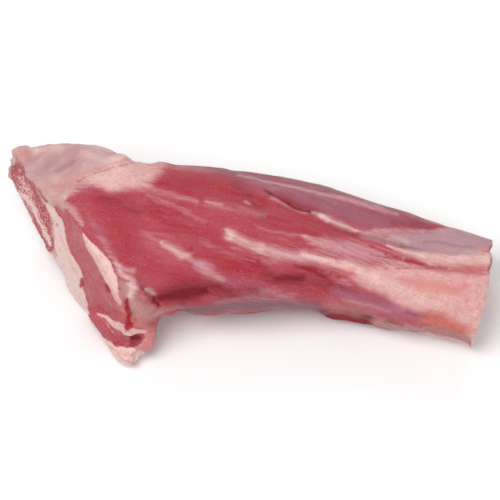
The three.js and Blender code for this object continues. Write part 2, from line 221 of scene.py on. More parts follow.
        ("left belly", 0.5, (-75, 19.5, 2.9), (-67.5, 13.5, 5.8), (-62, 6, 6.3), (-58, -2.5, 5.8)),
        ("middle", 0.85, (-48.5, 16.5, 3.9), (-36.5, 8.5, 5.8), (-24, 0, 5.8), (-12, -8.5, 5.8),
         (0, -14.5, 4.8)),
        ("middle low", 1, (-31.5, -4, 3.9), (-24, -7, 4.8), (-9.5, -10.5, 5.8), (5, -12.5, 4.8)),
        ("lower flank", 0.45, (-48.5, -10.5, 3.9), (-38.5, -15.5, 3.9), (-29, -20, 2.9)),
        ("crease band", 0.6, (10.5, 23, 1), (20, 19.5, 1.9), (28, 16, 2.1), (35, 13, 1.2)),
    ),
    "tan": streaks(
        ("membrane upper", 0.95, (-62.5, -21, 2.4), (-60, -24.5, 3.4), (-57.5, -29, 4.4)),
        ("membrane lower", 1, (-56.5, -31, 4.4), (-52, -34.5, 4.8), (-47.5, -37, 3.9), (-42.5, -36.5, 2.4)),
        ("to the right", 0.45, (-42.5, -35.5, 1.9), (-35, -34.5, 1.9), (-26, -34.5, 1.5)),
        ("low edge", 0.95, (62.5, -40, 1.9), (70, -42.5, 2.4), (78.5, -44, 2.7), (87, -45.5, 2.9),
         (95, -47.5, 2.9), (102.5, -49.5, 2.4), (106.5, -50.5, 1.5)),
        ("grey tan", 0.4, (38.5, -30.5, 2.9), (48.5, -33.5, 3.1), (59, -36.5, 2.9)),
    ),
    # Greyish streaks: painted shade with a painted reflection of the pale room, along the lower edge and the
    # top edge where the surface turns away, in the groove beside the hock skin and in the folds of the
    # membrane.
    "grey": streaks(
        ("bottom", 1, (-31, -34.5, 1.5), (-19.5, -33, 2.4), (-7.5, -32.5, 3.4), (4, -31.5, 3.9),
         (14.5, -31.5, 3.9), (24, -32, 3.4), (33, -32.5, 2.4)),
        ("bottom b", 0.5, (-17, -29, 1.9), (-5, -28.5, 2.4), (6, -27.5, 2.9)),
        ("bottom of hock", 0.45, (84, -43, 1), (90, -44, 1.5), (96, -46.5, 1.5)),
        ("line beside skin", 0.7, (56, 2.5, 0.6), (66, 0.5, 0.9), (75, -2, 1.1), (83, -5, 1.1),
         (95, -6.5, 0.9), (109.5, -7.5, 0.7)),
        ("top edge", 0.45, (-37.5, 36.5, 1), (-22, 35.5, 1.3), (-2.5, 33.5, 1.5), (17, 30.5, 1.5),
         (36.5, 25, 1.5), (55.5, 19.5, 1.5), (72.5, 14.5, 1)),
        ("in the membrane", 0.15, (-54.5, -29.5, 1.5), (-51.5, -31.5, 1.9), (-49.5, -35, 1.6)),
        ("in the skin a", 0.45, (84.5, -0.5, 0.5), (96.5, -2, 0.7), (109.5, -4, 0.5)),
        ("edge of hock", 0.35, (70, -44, 0.6), (82, -45.5, 0.8), (94.5, -47.5, 0.8), (102.5, -50, 0.6)),
        ("membrane foot", 0.4, (-47.5, -36.5, 1.2), (-44.5, -35, 1)),
    ),
    "plum": streaks(
        ("low plum", 1, (42.5, -24, 2.4), (50.5, -27.5, 3.6), (61, -30.5, 4.1), (71.5, -33, 3.9),
         (81, -36.5, 2.4)),
        ("strip by rim", 0.3, (-77.5, 7.5, 1.9), (-70.5, -2.5, 2.9), (-62, -14.5, 1.9)),
        ("upper plum", 0.5, (24, 20, 2.9), (38.5, 14.5, 3.4), (51.5, 11, 3.4), (63.5, 8.5, 2.9)),
        ("left shoulder", 0.5, (-90, 21.5, 1.9), (-84, 24, 2.4), (-77.5, 25.5, 2.4)),
        ("bottom plum", 0.5, (-13.5, -20.5, 2.9), (-5, -22, 3.4), (6, -23.5, 2.9)),
        ("in the skin b", 0.35, (88, 2.5, 1), (99, 0.5, 1.2), (111, -1.5, 1)),
        ("under the skin", 0.3, (74.5, 0, 0.6), (84.5, -3, 0.7), (96.5, -5, 0.6)),
    ),
    "mauve": streaks(
        ("cap smear", 0.9, (-93, 33, 1.5), (-89, 35.5, 1.9), (-84.5, 37.5, 1.5)),
        ("cap smear halo", 0.45, (-96.5, 34, 2.9), (-89, 36.5, 4.8), (-80.5, 40.5, 2.9)),
        ("cap groove", 0.5, (-110, 35.5, 1.2), (-105.5, 38.5, 1.6), (-100.5, 42, 1.2)),
        ("cap edge", 0.3, (-69.5, 43, 1), (-62, 40, 1), (-54, 37.5, 1)),
        # The membrane's shadow and the greyish streak below it are painted shade in the mauve colour.
        ("membrane shadow", 0.5, (-55.5, -21.5, 1.2), (-51.5, -22, 1.5), (-48.5, -23.5, 1)),
        ("membrane grey", 0.15, (-52.5, -28, 1.5), (-50, -31, 1.6), (-48, -35, 1.3)),
    ),
    "warm": streaks(
        ("cap blush", 0.45, (-95.5, 26, 1.9), (-90, 27, 3.4), (-84, 29, 2.4)),
        ("cap tip", 0.55, (-112.5, 40, 1.2), (-110, 41, 1.5), (-107, 40.5, 1.2)),
        ("hock brown", 0.85, (83.5, -38.5, 1.9), (90, -39, 3.9), (97.5, -41, 4.4), (105.5, -43.5, 3.4)),
        ("cap to strip", 0.35, (-98.5, 24, 1.9), (-95, 21, 2.4), (-92, 19, 1.9)),
        ("top line", 0.45, (-48.5, 35, 0.7), (-39.5, 34, 0.7), (-29, 33.5, 0.6), (-18, 32.5, 0.5)),
        ("hock edge warm", 0.3, (109.5, -10.5, 1.5), (112, -29, 1.9), (108.5, -43.5, 1.9)),
        ("knee crease", 0.5, (-89, 25.5, 0.5), (-83, 29, 0.5), (-76.5, 33.5, 0.5), (-68.5, 37, 0.5),
         (-56, 38.5, 0.4)),
    ),
    "blush": streaks(
        ("hock blush", 1, (73.5, -19.5, 1.9), (81, -21, 3.9), (92, -23, 3.9), (100.5, -24.5, 3.4),
         (104.5, -22.5, 2.4)),
        ("hock blush low", 0.7, (102.5, -25, 1.9), (105.5, -29, 2.4), (106.5, -33, 1.9)),
        ("hock stripe", 0.6, (87, -12.5, 0.9), (96.5, -14, 1.3), (114, -15.5, 1.5)),
        ("flank pink", 0.5, (35, -10.5, 1.5), (42.5, -12, 1.9), (49.5, -15, 1.9)),
        ("shoulder pink", 0.4, (70, -18.5, 1.9), (76.5, -19, 2.4)),
        ("flap fat edge", 0.75, (-69.5, -51.5, 0.8), (-66.5, -55.5, 0.9), (-62.5, -59, 0.9),
         (-57.5, -61, 0.9)),
        ("rim end", 0.7, (-68.5, -22, 1), (-66, -25.5, 1.5), (-62.5, -30.5, 1.9), (-59, -35.5, 1.5)),
        ("wedge lines", 0.35, (-92, 7, 0.5), (-90, 0, 0.6), (-86, -10.5, 0.7), (-83, -17.5, 0.7)),
        ("lobe", 0.8, (-58, -38.5, 1.9), (-52, -40.5, 2.9), (-49, -45.5, 2.9), (-49, -51.5, 2.9),
         (-53, -54, 2.4)),
        ("seam blush", 0.35, (-69.5, -37, 1), (-61, -42.5, 1.5), (-51.5, -44.5, 1.2)),
        ("skin end", 0.45, (110, -3.5, 1.2), (114, -4.5, 1.2)),
        ("tendon warm", 0.3, (87, -8.5, 1.9), (97.5, -10, 1.9), (108.5, -9.5, 1.9)),
        ("rim glow", 0.32, (-80.5, 1, 1.5), (-75.5, -7, 2.4), (-68.5, -17.5, 2.9), (-64, -26, 2.4)),
        ("flap glow", 0.36, (-69, -51, 1.5), (-64, -54, 2.4), (-58, -56.5, 2.4)),
        ("flap seam glow", 0.3, (-74.5, -36.5, 1), (-67.5, -39, 1.5), (-62, -43, 1.5), (-55, -43, 1.5)),
    ),
    "blood": streaks(
        ("left spot", 1, (-81, -19, 0.8), (-81, -21.5, 1.2), (-81.5, -23, 0.5)),
        ("rim spot", 0.9, (-69.5, -22, 0.9), (-68.5, -24.5, 0.9)),
        ("gash", 1, (-59.5, -28.5, 0.5), (-59, -31.5, 0.9), (-59.5, -34, 0.7), (-58.5, -36.5, 1.1),
         (-59, -38.5, 1.5), (-58.5, -41.5, 1.7)),
        ("membrane blood", 0.45, (-62, -19.5, 0.6), (-58, -20, 0.5)),
        ("crease line", 0.42, (-83.5, 28, 0.4), (-80.5, 30, 0.4), (-76.5, 32, 0.4), (-71, 34, 0.4),
         (-64, 36, 0.4), (-56, 36.5, 0.3)),
        ("small spot", 0.8, (-93, 7.5, 0.5), (-92.5, 7, 0.5)),
        ("cap cut edge", 0.5, (-115, 36, 0.5), (-112, 30, 0.5)),
        ("thin red a", 0.6, (59, -7, 0.5), (69, -8.5, 0.6), (79.5, -10.5, 0.7), (86.5, -12, 0.6),
         (95.5, -13, 0.5)),
        ("thin red b", 0.4, (65, -14, 0.4), (75, -13.5, 0.4), (87, -13.5, 0.4)),
        ("red strands", 0.55, (58, -2.5, 0.6), (67, -6.5, 0.8), (75.5, -9.5, 0.8), (86, -11.5, 0.7)),
        ("ragged red", 0.5, (22.5, -12, 0.7), (30, -14, 1), (36.5, -15, 1), (43.5, -18, 0.9)),
        ("ragged red b", 0.35, (27, -15.5, 0.7), (34, -17.5, 0.8), (40.5, -20, 0.7)),
        ("wedge foot", 0.6, (-95, -6, 0.7), (-95, -8, 0.6)),
        ("belly streak", 0.4, (-28.5, -5, 0.4), (-27.5, -3, 0.4)),
        ("hock edge", 0.7, (116.5, -8, 0.4), (116.5, -14.5, 0.6), (115.5, -21.5, 0.4)),
        ("scrap red", 0.5, (38.5, -35.5, 0.8), (46, -37.5, 1.5), (54, -39, 1.3)),
    ),
    "white": streaks(
        ("hock shoulder", 0.4, (49.5, -13, 1.3), (55, -16, 2.4), (63, -20.5, 2.9), (72.5, -24, 2.9),
         (82, -28.5, 2.4), (91, -31.5, 1.7)),
        ("tendon band", 0.4, (76, -5.5, 0.4), (84, -8, 1.3), (96.5, -9, 1.7), (114, -10, 1.9)),
        ("shoulder patch", 0.14, (-74.5, 30, 1.5), (-66.5, 30, 2.9), (-57, 31, 3.9), (-48.5, 31, 2.4)),
        ("streak root", 0.6, (-11, 4, 1), (-8.5, 2, 1.2)),
        ("streak knot", 0.3, (2, -4.5, 1.1), (6, -5.5, 1.1)),
        ("cap light", 0.3, (-80.5, 42.5, 1.9), (-73.5, 40, 2.9), (-65, 37.5, 1.9)),
        ("cap corner", 0.4, (-104.5, 43.5, 1.5), (-92, 44.5, 1.9)),
        ("tendon knot", 0.5, (33, 12, 0.7), (38.5, 9.5, 0.8)),
        ("membrane lump", 0.75, (-58.5, -21, 1.3), (-56.5, -24, 1.6), (-57.5, -27, 1.2)),
        ("membrane lump low", 0.6, (-50, -24.5, 1), (-47.5, -26, 1)),
        ("hock rim", 0.4, (114, -12.5, 1), (114.5, -22, 1.2), (111.5, -34, 1.2), (108.5, -43.5, 1.3),
         (106.5, -49, 1)),
        ("membrane edge", 0.4, (-62.5, -14.5, 1), (-60, -18.5, 1.3)),
        ("streak to the hock", 0.4, (30, -8.5, 1), (37.5, -10, 1.2), (46.5, -12.5, 1.5)),
    ),
}

# A patch is a closed outline of (along the shank, up the picture), in mm, with a soft edge.
Patch = namedtuple("Patch", "name strength edge outline")

PATCHES = {
    "pale": (
        Patch("top patch", 0.85, 3, (
            (-79.5, 29), (-72.5, 33), (-66, 37), (-60, 39.5), (-52, 38), (-45, 36.5), (-40.5, 35),
            (-43.5, 32.5), (-47.5, 30), (-50.5, 28), (-47.5, 25), (-58, 24.5), (-66.5, 23.5), (-71, 26),
            (-76, 27.5))),
        Patch("hock fat", 0.85, 2.6, (
            (58, -14), (70.5, -12), (83, -13.5), (95.5, -15.5), (116.5, -16.5), (115.5, -29),
            (109.5, -49.5), (105.5, -48.5), (104.5, -41.5), (93.5, -35.5), (83, -34.5), (75, -32.5),
            (66, -26.5), (58, -23), (49.5, -17))),
    ),
    "cap": (
        Patch("above the strip", 1, 1.2, (
            (-105, 30.5), (-98.5, 23), (-97, 18.5), (-94.5, 17), (-91, 18), (-88, 21.5), (-92, 26),
            (-97.5, 30))),
    ),
    "wedge": (
        Patch("beside the bone", 1, 0.6, (
            (-98, 19), (-95.5, 18), (-93.5, 13.5), (-91, 9.5), (-88.5, 3.5), (-87, -4.5), (-83.5, -11.5),
            (-80.5, -19), (-79.5, -28.5), (-78, -36), (-80.5, -37), (-85, -30.5), (-91, -21), (-97.5, -9),
            (-101, -3), (-98.5, 0), (-99.5, 7), (-99.5, 13.5))),
    ),
    "hockskin": (
        Patch("hock skin", 0.95, 1.5, (
            (69.5, 4), (82, 3.5), (92, 5.5), (97.5, 5.5), (111, 3.5), (118, 0), (117.5, -5), (108.5, -7.5),
            (95.5, -7), (83, -5.5), (72.5, -1.5), (65.5, 1.5))),
    ),
    "lean": (
        Patch("bare shoulder", 1, 3, (
            (-83, 26.5), (-78.5, 28), (-72.5, 27), (-66.5, 24.5), (-60, 24), (-55, 22), (-50, 5), (-77, 4),
            (-83, 9), (-88, 15.5), (-90, 20), (-87, 23.5))),
        Patch("flap meat", 1, 1, (
            (-76.5, -36.5), (-72.5, -44), (-69.5, -46.5), (-66, -51), (-61, -51.5), (-56, -51.5),
            (-53.5, -50.5), (-53, -45), (-60, -44), (-67.5, -39.5))),
        Patch("middle of the fold", 0.9, 1, (
            (-60, -47.5), (-56, -46), (-51.5, -45.5), (-50.5, -48.5), (-51.5, -51.5), (-56, -51.5),
            (-59.5, -51))),
    ),
    "blush": (
        Patch("hock glow", 0.34, 3, (
            (58, -14), (70.5, -12), (83, -13.5), (95.5, -15.5), (116.5, -16.5), (115.5, -29),
            (109.5, -49.5), (105.5, -48.5), (104.5, -41.5), (93.5, -35.5), (83, -34.5), (75, -32.5),
            (66, -26.5), (58, -23), (49.5, -17))),
        Patch("top glow", 0.3, 3, (
            (-79.5, 29), (-72.5, 33), (-63, 35.5), (-48.5, 36.5), (-40.5, 35), (-43.5, 32.5), (-47.5, 30),
            (-50.5, 28), (-47.5, 25), (-58, 24.5), (-66.5, 23.5), (-71, 26), (-76, 27.5))),
    ),
}

# Marks on the sides that the picture hides: a streak of points (along, degrees round the leg, half
# width). The far side is at 360 degrees and the underside at 270.
HIDDEN_STREAKS = {
    "pale": streaks(
        ("far tendon", 1, (116, 332, 4), (88, 327, 3), (62, 322, 2.2), (36, 316, 1.4), (14, 312, 0.7)),
        ("far seam", 0.75, (70, 352, 1), (34, 347, 1.2), (-4, 338, 0.9), (-38, 330, 0.6)),
        ("under tendon", 0.9, (112, 246, 4), (84, 248, 2.8), (60, 254, 1.8), (36, 262, 0.8)),
        ("belly streak", 0.85, (-46, 296, 0.7), (-30, 301, 1.7), (-12, 305, 1.9), (6, 307, 0.9)),
        ("knee tendon", 0.85, (-92, 330, 3), (-70, 326, 2.2), (-52, 322, 1.2), (-36, 320, 0.6)),
        ("under streak", 0.6, (-20, 252, 0.8), (4, 256, 1.4), (28, 254, 0.8)),
        ("behind the cap", 1, (-72, 393, 4), (-60, 393, 5), (-50, 394, 4)),
    ),
    # Dark red on the hidden sides: painted shade in the far hollow, the far crease and the hollow
    # underneath.
    "deep": streaks(
        ("far hollow", 0.8, (58, 308, 2), (24, 300, 3.4), (-12, 292, 3.6), (-44, 286, 2)),
        ("far crease", 0.75, (48, 366, 1), (10, 364, 1.5), (-30, 352, 1.3), (-56, 346, 0.8)),
        ("under hollow", 0.65, (20, 236, 2.4), (-14, 238, 3.2), (-42, 246, 3)),
    ),
    "bright": streaks(
        ("far belly", 0.8, (30, 330, 5), (-10, 322, 8), (-50, 314, 8)),
        ("under belly", 0.5, (30, 274, 4), (-10, 272, 6), (-40, 270, 5)),
    ),
    # The far sheen is a painted highlight; the veils are real thin membrane.
    "film": streaks(
        ("far veil", 0.8, (44, 342, 3), (14, 334, 4), (-20, 326, 3), (-40, 322, 2)),
        ("under veil", 0.7, (40, 268, 4), (10, 276, 5), (-20, 282, 4)),
        ("far sheen", 0.8, (70, 384, 1.4), (30, 380, 1.2), (-10, 378, 1), (-30, 376, 0.6)),
    ),
    "silver": streaks(
        ("far skin", 0.85, (70, 375, 7), (30, 372, 9), (-10, 370, 9), (-46, 372, 5)),
        ("far band", 0.6, (40, 355, 3), (0, 350, 4), (-40, 342, 3)),
    ),
    # Greyish painted shade along the underside.
    "grey": streaks(
        ("under edge", 0.7, (30, 226, 4), (0, 224, 4), (-30, 228, 3)),
    ),
    "plum": streaks(
        ("far plum", 0.8, (80, 300, 4), (56, 292, 5), (30, 286, 4)),
    ),
    "tan": streaks(
        ("under knee", 0.9, (-36, 236, 5), (-50, 246, 8), (-62, 262, 9), (-70, 284, 9)),
        ("under hock", 0.6, (100, 276, 5), (80, 274, 5), (60, 276, 3)),
    ),
    "hockskin": streaks(
        ("far hock skin", 0.9, (116, 388, 9), (92, 386, 8), (72, 384, 4)),
    ),
    "warm": streaks(
        ("hock blush", 0.5, (110, 290, 5), (90, 288, 5), (76, 286, 3)),
    ),
    "blush": streaks(
        ("far hock blush", 0.6, (112, 356, 5), (94, 352, 5), (80, 348, 3)),
    ),
}

# Ridges and grooves of the picture side: a streak's strength is its height in mm.
RIDGES = streaks(
    ("main streak", 0.45, (-11, 3.5, 1.9), (1, -3.5, 2.3), (24, -8.5, 2), (46, -13.5, 2.4), (69, -24.5, 4)),
    ("second streak", 0.4, (-44, 0, 0.8), (-40, -4, 1.6), (-30.5, -8, 1.8)),
    ("tendon streak", 0.45, (28.5, 13, 0.8), (42, 8.5, 1.4), (56, 3.5, 1.3), (63, 1.5, 1)),
    ("tendon band", 0.9, (72, -5, 1), (86, -8, 2.2), (97, -9.5, 2.8), (118, -8, 3)),
    ("red line", -0.9, (59, -7, 0.8), (80, -10.5, 1), (96, -13, 1.2), (116, -15.5, 1.2)),
    ("hock skin edge", -0.6, (66, 0, 1), (80, -2.5, 1.4), (92, -5.5, 1.4), (114, -7, 1.2)),
    ("open crease", -0.55, (7, 24.5, 0.7), (13, 20.5, 1.1), (20, 16.5, 1.3), (27, 13.5, 1), (34, 11, 0.7)),
    ("crease lip", 0.5, (8, 22.5, 0.8), (18, 15.5, 1.1), (28, 11.5, 0.9)),
    ("knee crease", -0.45, (-83.5, 28, 0.6), (-77, 32, 0.7), (-66, 35, 0.7), (-56, 37, 0.6)),
    ("near hollow", -1.6, (-52, -23, 1), (-47, -28.5, 1.6), (-42, -33, 1.3)),
    ("dark hollow", -1, (-42, -29, 3), (-30, -27, 4), (-18, -23, 3)),
    ("ragged red", -0.7, (23, -13, 0.7), (33, -14.5, 1), (46, -18.5, 0.8)),
    ("lower hollow", -0.7, (12, -17, 3), (30, -20, 3.5), (46, -24, 3)),
    ("belly seam", -0.5, (-50, 24, 1), (-25, 19, 1.2), (0, 12.5, 1.2), (20, 7.5, 1)),
    ("flap gash", -1, (-59.5, -28.5, 0.5), (-59.5, -33.5, 0.7), (-58.5, -37.5, 0.9), (-58.5, -41.5, 0.9)),
    ("gash foot", 1.4, (-58.5, -44.5, 2), (-58.5, -51, 2.2)),
    ("tongue middle", -1.6, (-67, -53.5, 2), (-61, -55.5, 3)),
    ("flap seam", 0.5, (-76, -34.5, 0.8), (-70, -37, 1.2), (-63, -42, 1.4), (-56, -44, 1.2)),
    ("cap front", 0.8, (-112, 36, 1.6), (-104, 28, 1.6), (-98, 22, 1.4), (-95, 18, 1.2)),
    ("cap groove", -0.7, (-109, 35.5, 1.2), (-101, 41.5, 1.6)),
    ("cap crest", 1.2, (-90, 47.5, 4), (-84, 47, 4)),
    ("cap flank", -1.2, (-103, 44, 2.5), (-98, 46, 2.5)),
    ("cap corner", 1.8, (-112.5, 42, 2.5), (-108.5, 43.5, 2.5)),
    ("cap dip", -1.2, (-72, 45.5, 4), (-66, 44, 3)),
    ("top shoulder", 1.5, (-61, 39.5, 3), (-54, 37.5, 4), (-42.5, 36.5, 4)),
    ("top shoulder end", 1.1, (-42.5, 36.5, 4), (-27, 35.5, 4.5), (-15, 34.5, 4.5)),
    ("scrap", 1.2, (36, -36.5, 2), (44, -38.5, 2.5), (54, -39.5, 2)),
    ("lower hock", -1.8, (86, -46, 3), (96, -48, 3.5), (107, -50, 3.5)),
    ("flap corner", -2.4, (-72, -51, 2.5), (-67.5, -58, 3), (-63, -62.5, 3)),
    ("behind the flap", -1.5, (-47, -40, 3), (-38, -37.5, 3), (-31, -36, 2.5)),
    ("tag", 1.6, (-115, 34.6, 1.4), (-113, 32.5, 1.6)),
    ("lobe roll", 1.2, (-58, -39.5, 1.6), (-51, -40, 2.6), (-47.5, -45.5, 2.6), (-49, -53, 2.4)),
    ("lobe middle", -1.6, (-58, -48.5, 1.8), (-52, -48.5, 2.2)),
    ("flap tongue", 1, (-68, -52, 1.6), (-62, -58.5, 2), (-57.5, -58, 1.6)),
    ("flap notch", -2.2, (-55, -56, 1.6), (-54.5, -61, 2)),
    ("rim strip", 0.5, (-78, -2, 1), (-70, -11, 2), (-66, -19, 2.2), (-62, -27, 1.6)),
)

# A push moves the outline: a streak with its shift along the shank and up the picture, in mm.
Push = namedtuple("Push", "name shift points")

PUSHES = (
    Push("left edge", (1.5, 0.4), ((-98, -2, 3), (-95, -9.5, 3.5), (-91, -17, 3))),
    Push("left tag", (-1.4, 0), ((-119, 32, 1.6), (-116, 31, 1.6))),
    Push("top left", (0, 1.1), ((-112, 43.5, 4), (-98, 45, 5))),
    Push("flap side", (-1.6, 0), ((-70, -47.5, 1.6), (-69, -50, 1.6))),
    Push("tongue corner", (2.4, 1.2), ((-70, -55, 3), (-66, -60, 3), (-60, -63, 3))),
    Push("behind the flap", (0, 2), ((-52, -55, 3), (-46, -48, 3.5), (-41, -41, 4), (-34, -38, 4))),
    Push("lower edge", (0, 1.4), ((-10, -37, 4), (10, -37, 4), (27, -37, 4))),
    Push("beside the flap", (0.8, 3), ((-43.5, -43, 1.8), (-41, -41, 1.8))),
    Push("flap notch", (0, 2.2), ((-55, -58, 1.3), (-53.5, -58, 1.3))),
    Push("lower edge of the hock", (0, 1.6), ((82, -47, 2.5), (92, -49.5, 3.5), (104, -52, 3))),
    Push("hock notch", (-1.6, 0), ((118, -4.5, 1.2), (117, -5.5, 1.2))),
)

HIDDEN_RIDGES = streaks(
    ("far tendon", 0.9, (116, 332, 4), (88, 327, 3), (62, 322, 2.2), (36, 316, 1.4)),
    ("far crease", -1.4, (48, 366, 1), (10, 364, 1.5), (-30, 352, 1.3), (-56, 346, 0.8)),
    ("far hollow", -1.2, (58, 308, 3), (24, 300, 4.4), (-12, 292, 4.6), (-44, 286, 3)),
    ("under tendon", 0.7, (112, 246, 4), (84, 248, 2.8), (60, 254, 1.8)),
    ("belly streak", 0.4, (-46, 296, 0.8), (-30, 301, 1.8), (-12, 305, 2), (6, 307, 1)),
)

# Colours as they show in soft daylight.
SEEN_COLOURS = {
    "meat": ((174, 70, 81), "Muscle"),
    "meat_pale": ((187, 95, 103), "Paler strands of the muscle"),
    "cut": ((187, 90, 98), "Muscle cut across"),
    "bright": ((166, 52, 64), "Fresh red bellies"),
    # Dark red that stands mostly for painted shade in hollows and creases.
    "deep": ((124, 10, 44), "Deep red hollows"),
    "plum": ((174, 108, 126), "Purple muscle under a skin"),
    "silver": ((156, 91, 107), "Silvery skin over the muscle"),
    "hockskin": ((184, 146, 153), "Pale skin at the hock"),
    # This greyish colour is painted shade with a painted reflection of the pale room.
    "grey": ((131, 98, 104), "Cool grey of the lower edge"),
    # This pale colour also paints the sheen streaks, which are painted highlights.
    "film": ((210, 165, 171), "Thin pale film"),
    "tan": ((188, 140, 136), "Beige membrane"),
    "cap": ((197, 156, 154), "Fat over the knee"),
    # The mauve also paints the shadow in the membrane by the flap.
    "mauve": ((166, 114, 132), "Mauve smears in the fat"),
    "pale": ((227, 190, 184), "Tendon and thin fat"),
    "fat": ((235, 203, 197), "Thick white fat"),
    "warm": ((204, 128, 110), "Orange blush at the hock"),
    "blush": ((214, 132, 129), "Pink blush in the fat"),
    "blood": ((164, 16, 44), "Blood spots"),
    "bone": ((182, 84, 94), "Sponge of the cut bone"),
    "speck": ((230, 192, 186), "Pale crumbs of the bone"),
    "shell": ((226, 200, 188), "Hard shell of the bone"),
    "marrow": ((150, 46, 60), "Marrow and blood in the bone"),
}


# The wet surface adds this much light of its own, and the room is this bright.
WET_SHEEN = 0.013
ROOM_LIGHT = 1.06


def daylight(seen):
    """Linear colour of a tissue whose 8-bit colour is as it shows."""
    shares = [value / 255 for value in seen]
    linear = [s / 12.92 if s <= 0.04045 else ((s + 0.055) / 1.055) ** 2.4 for s in shares]
    return [max(0.004, (value - WET_SHEEN) / ROOM_LIGHT) for value in linear]


def length_property(name, words, default, low, high):
    return FloatProperty(
        name=name, description=words, subtype="DISTANCE", unit="LENGTH", default=default, min=low, max=high)


def colour_property(key):
    seen, words = SEEN_COLOURS[key]
    return FloatVectorProperty(
        name=key.replace("_", " ").capitalize(), description=words, subtype="COLOR", min=0, max=1,
        default=daylight(seen))


class ShankSizes(bpy.types.PropertyGroup):
    """Sizes of the surface detail"""
    grain: length_property("Mesh grain", "Edge length of the flesh mesh", 0.00082, 0.0005, 0.003)
    bone_grain: length_property("Bone mesh grain", "Edge length of the bone mesh", 0.0006, 0.0004, 0.003)
    muscle_wave: length_property("Muscle wave", "Height of the soft waves of the muscle", 0.00045, 0, 0.002)
    strand_height: length_property("Strand height", "Height of the muscle strands", 0.00014, 0, 0.001)
    fat_lumps: length_property("Fat lumps", "Height of the lumps in the fat", 0.0005, 0, 0.002)
    bone_crumbs: length_property("Bone crumbs", "Depth of the broken sponge of the bone", 0.0007, 0, 0.002)
    seat: length_property("Bone seat", "Depth of the bone's seats in the flesh", 0.003, 0.001, 0.02)
    camera_distance: length_property("Camera distance", "Distance of the camera", 2.0, 0.5, 5)


class ShankColours(bpy.types.PropertyGroup):
    """Colours of the tissues"""
    __annotations__ = {key: colour_property(key) for key in SEEN_COLOURS}


# ---- fields over arrays of points in mm ----

def step(low, high, value):
    """Smooth step from 0 at low to 1 at high; low may be the larger."""
    t = np.clip((value - low) / (high - low), 0, 1)
    return t * t * (3 - 2 * t)


def lattice_noise(points, seed):
    """Smooth noise from -1 to 1 on a unit lattice."""
    cell = np.floor(points).astype(np.int64)
    part = points - cell
    part = part * part * part * (part * (part * 6 - 15) + 10)
    total = np.zeros(len(points))
    for corner in range(8):
        pick = np.array([corner & 1, corner >> 1 & 1, corner >> 2 & 1])
        at = cell + pick
        mixed = (at[:, 0] * 73856093) ^ (at[:, 1] * 19349663) ^ (at[:, 2] * 83492791) ^ (seed * 97531)
        mixed = ((mixed ^ (mixed >> 13)) * 1274126177) & 0x7FFFFFFF
        mixed = ((mixed ^ (mixed >> 15)) * 668265263) & 0x7FFFFFFF
        value = (mixed >> 8 & 0xFFFF) / 32767.5 - 1
        total += value * np.prod(np.where(pick, part, 1 - part), axis=1)
    return total


def noise(points, size, seed, octaves=2):
    """Noise with forms of a size in mm, which may differ along the three axes."""
    size = np.array(size, float)
    return sum(0.5 ** n * lattice_noise(points / (size * 0.5 ** n), seed + n) for n in range(octaves))


def streak_value(places, streak, firm=False):
    """Strength of a streak at each place: it fades over its width, or ends near its edge where firm."""
    value = np.zeros(len(places))
    for start, end in zip(streak.points, streak.points[1:]):
        start, end = np.array(start, float), np.array(end, float)
        run = end[:2] - start[:2]
        part = np.clip((places - start[:2]) @ run / (run @ run), 0, 1)
        away = np.linalg.norm(places - start[:2] - part[:, None] * run, axis=1)
        width = start[2] + part * (end[2] - start[2])
        if firm:
            soft = np.maximum(0.5 * width, 0.5)
            here = 1 - step(width - soft, width + soft, away)
        else:
            here = np.exp(-0.9 * (away / (width + 0.15)) ** 2)
        value = np.maximum(value, here)
    return streak.strength * value


def outline_distance(places, start, end):
    """Distance of each place from one side of an outline."""
    run = end - start
    part = np.clip((places - start) @ run / (run @ run), 0, 1)
    return np.linalg.norm(places - start - part[:, None] * run, axis=1)


def patch_value(places, patch):
    """Strength of a patch at each place: its outline fades over its edge width."""
    outline = np.array(patch.outline, float)
    inside = np.zeros(len(places), bool)
    away = np.full(len(places), 1e9)
    for start, end in zip(outline, np.roll(outline, -1, axis=0)):
        rise = end[1] - start[1]
        crosses = (start[1] > places[:, 1]) != (end[1] > places[:, 1])
        if rise:
            at = start[0] + (places[:, 1] - start[1]) / rise * (end[0] - start[0])
            inside ^= crosses & (places[:, 0] < at)
        away = np.minimum(away, outline_distance(places, start, end))
    return patch.strength * step(-patch.edge, patch.edge, np.where(inside, away, -away))


# ---- meshes ----

def read_vectors(source, key, count, kind=float):
    values = np.empty(count * 3, dtype=kind)
    source.foreach_get(key, values)
    return values.reshape(-1, 3)


def points_of(mesh):
    return read_vectors(mesh.vertices, "co", len(mesh.vertices))


def normals_of(mesh):
    return read_vectors(mesh.vertex_normals, "vector", len(mesh.vertices))


def set_points(mesh, points):
    mesh.vertices.foreach_set("co", np.asarray(points, dtype=np.float32).ravel())
    mesh.update()


def edges_of(mesh):
    values = np.empty(len(mesh.edges) * 2, dtype=np.int32)
    mesh.edges.foreach_get("vertices", values)
    return values.reshape(-1, 2)


def relaxed(values, edges, rounds):
    """Values at the vertices, each drawn half way to the mean of its neighbours in every round."""
    count = len(values)
    neighbours = np.bincount(edges.ravel(), minlength=count)[:, None]
    for _ in range(rounds):
        total = np.column_stack([
            np.bincount(edges[:, 0], values[edges[:, 1], axis], count)
            + np.bincount(edges[:, 1], values[edges[:, 0], axis], count)
            for axis in range(values.shape[1])])
        values = values + 0.5 * (total / neighbours - values)
    return values


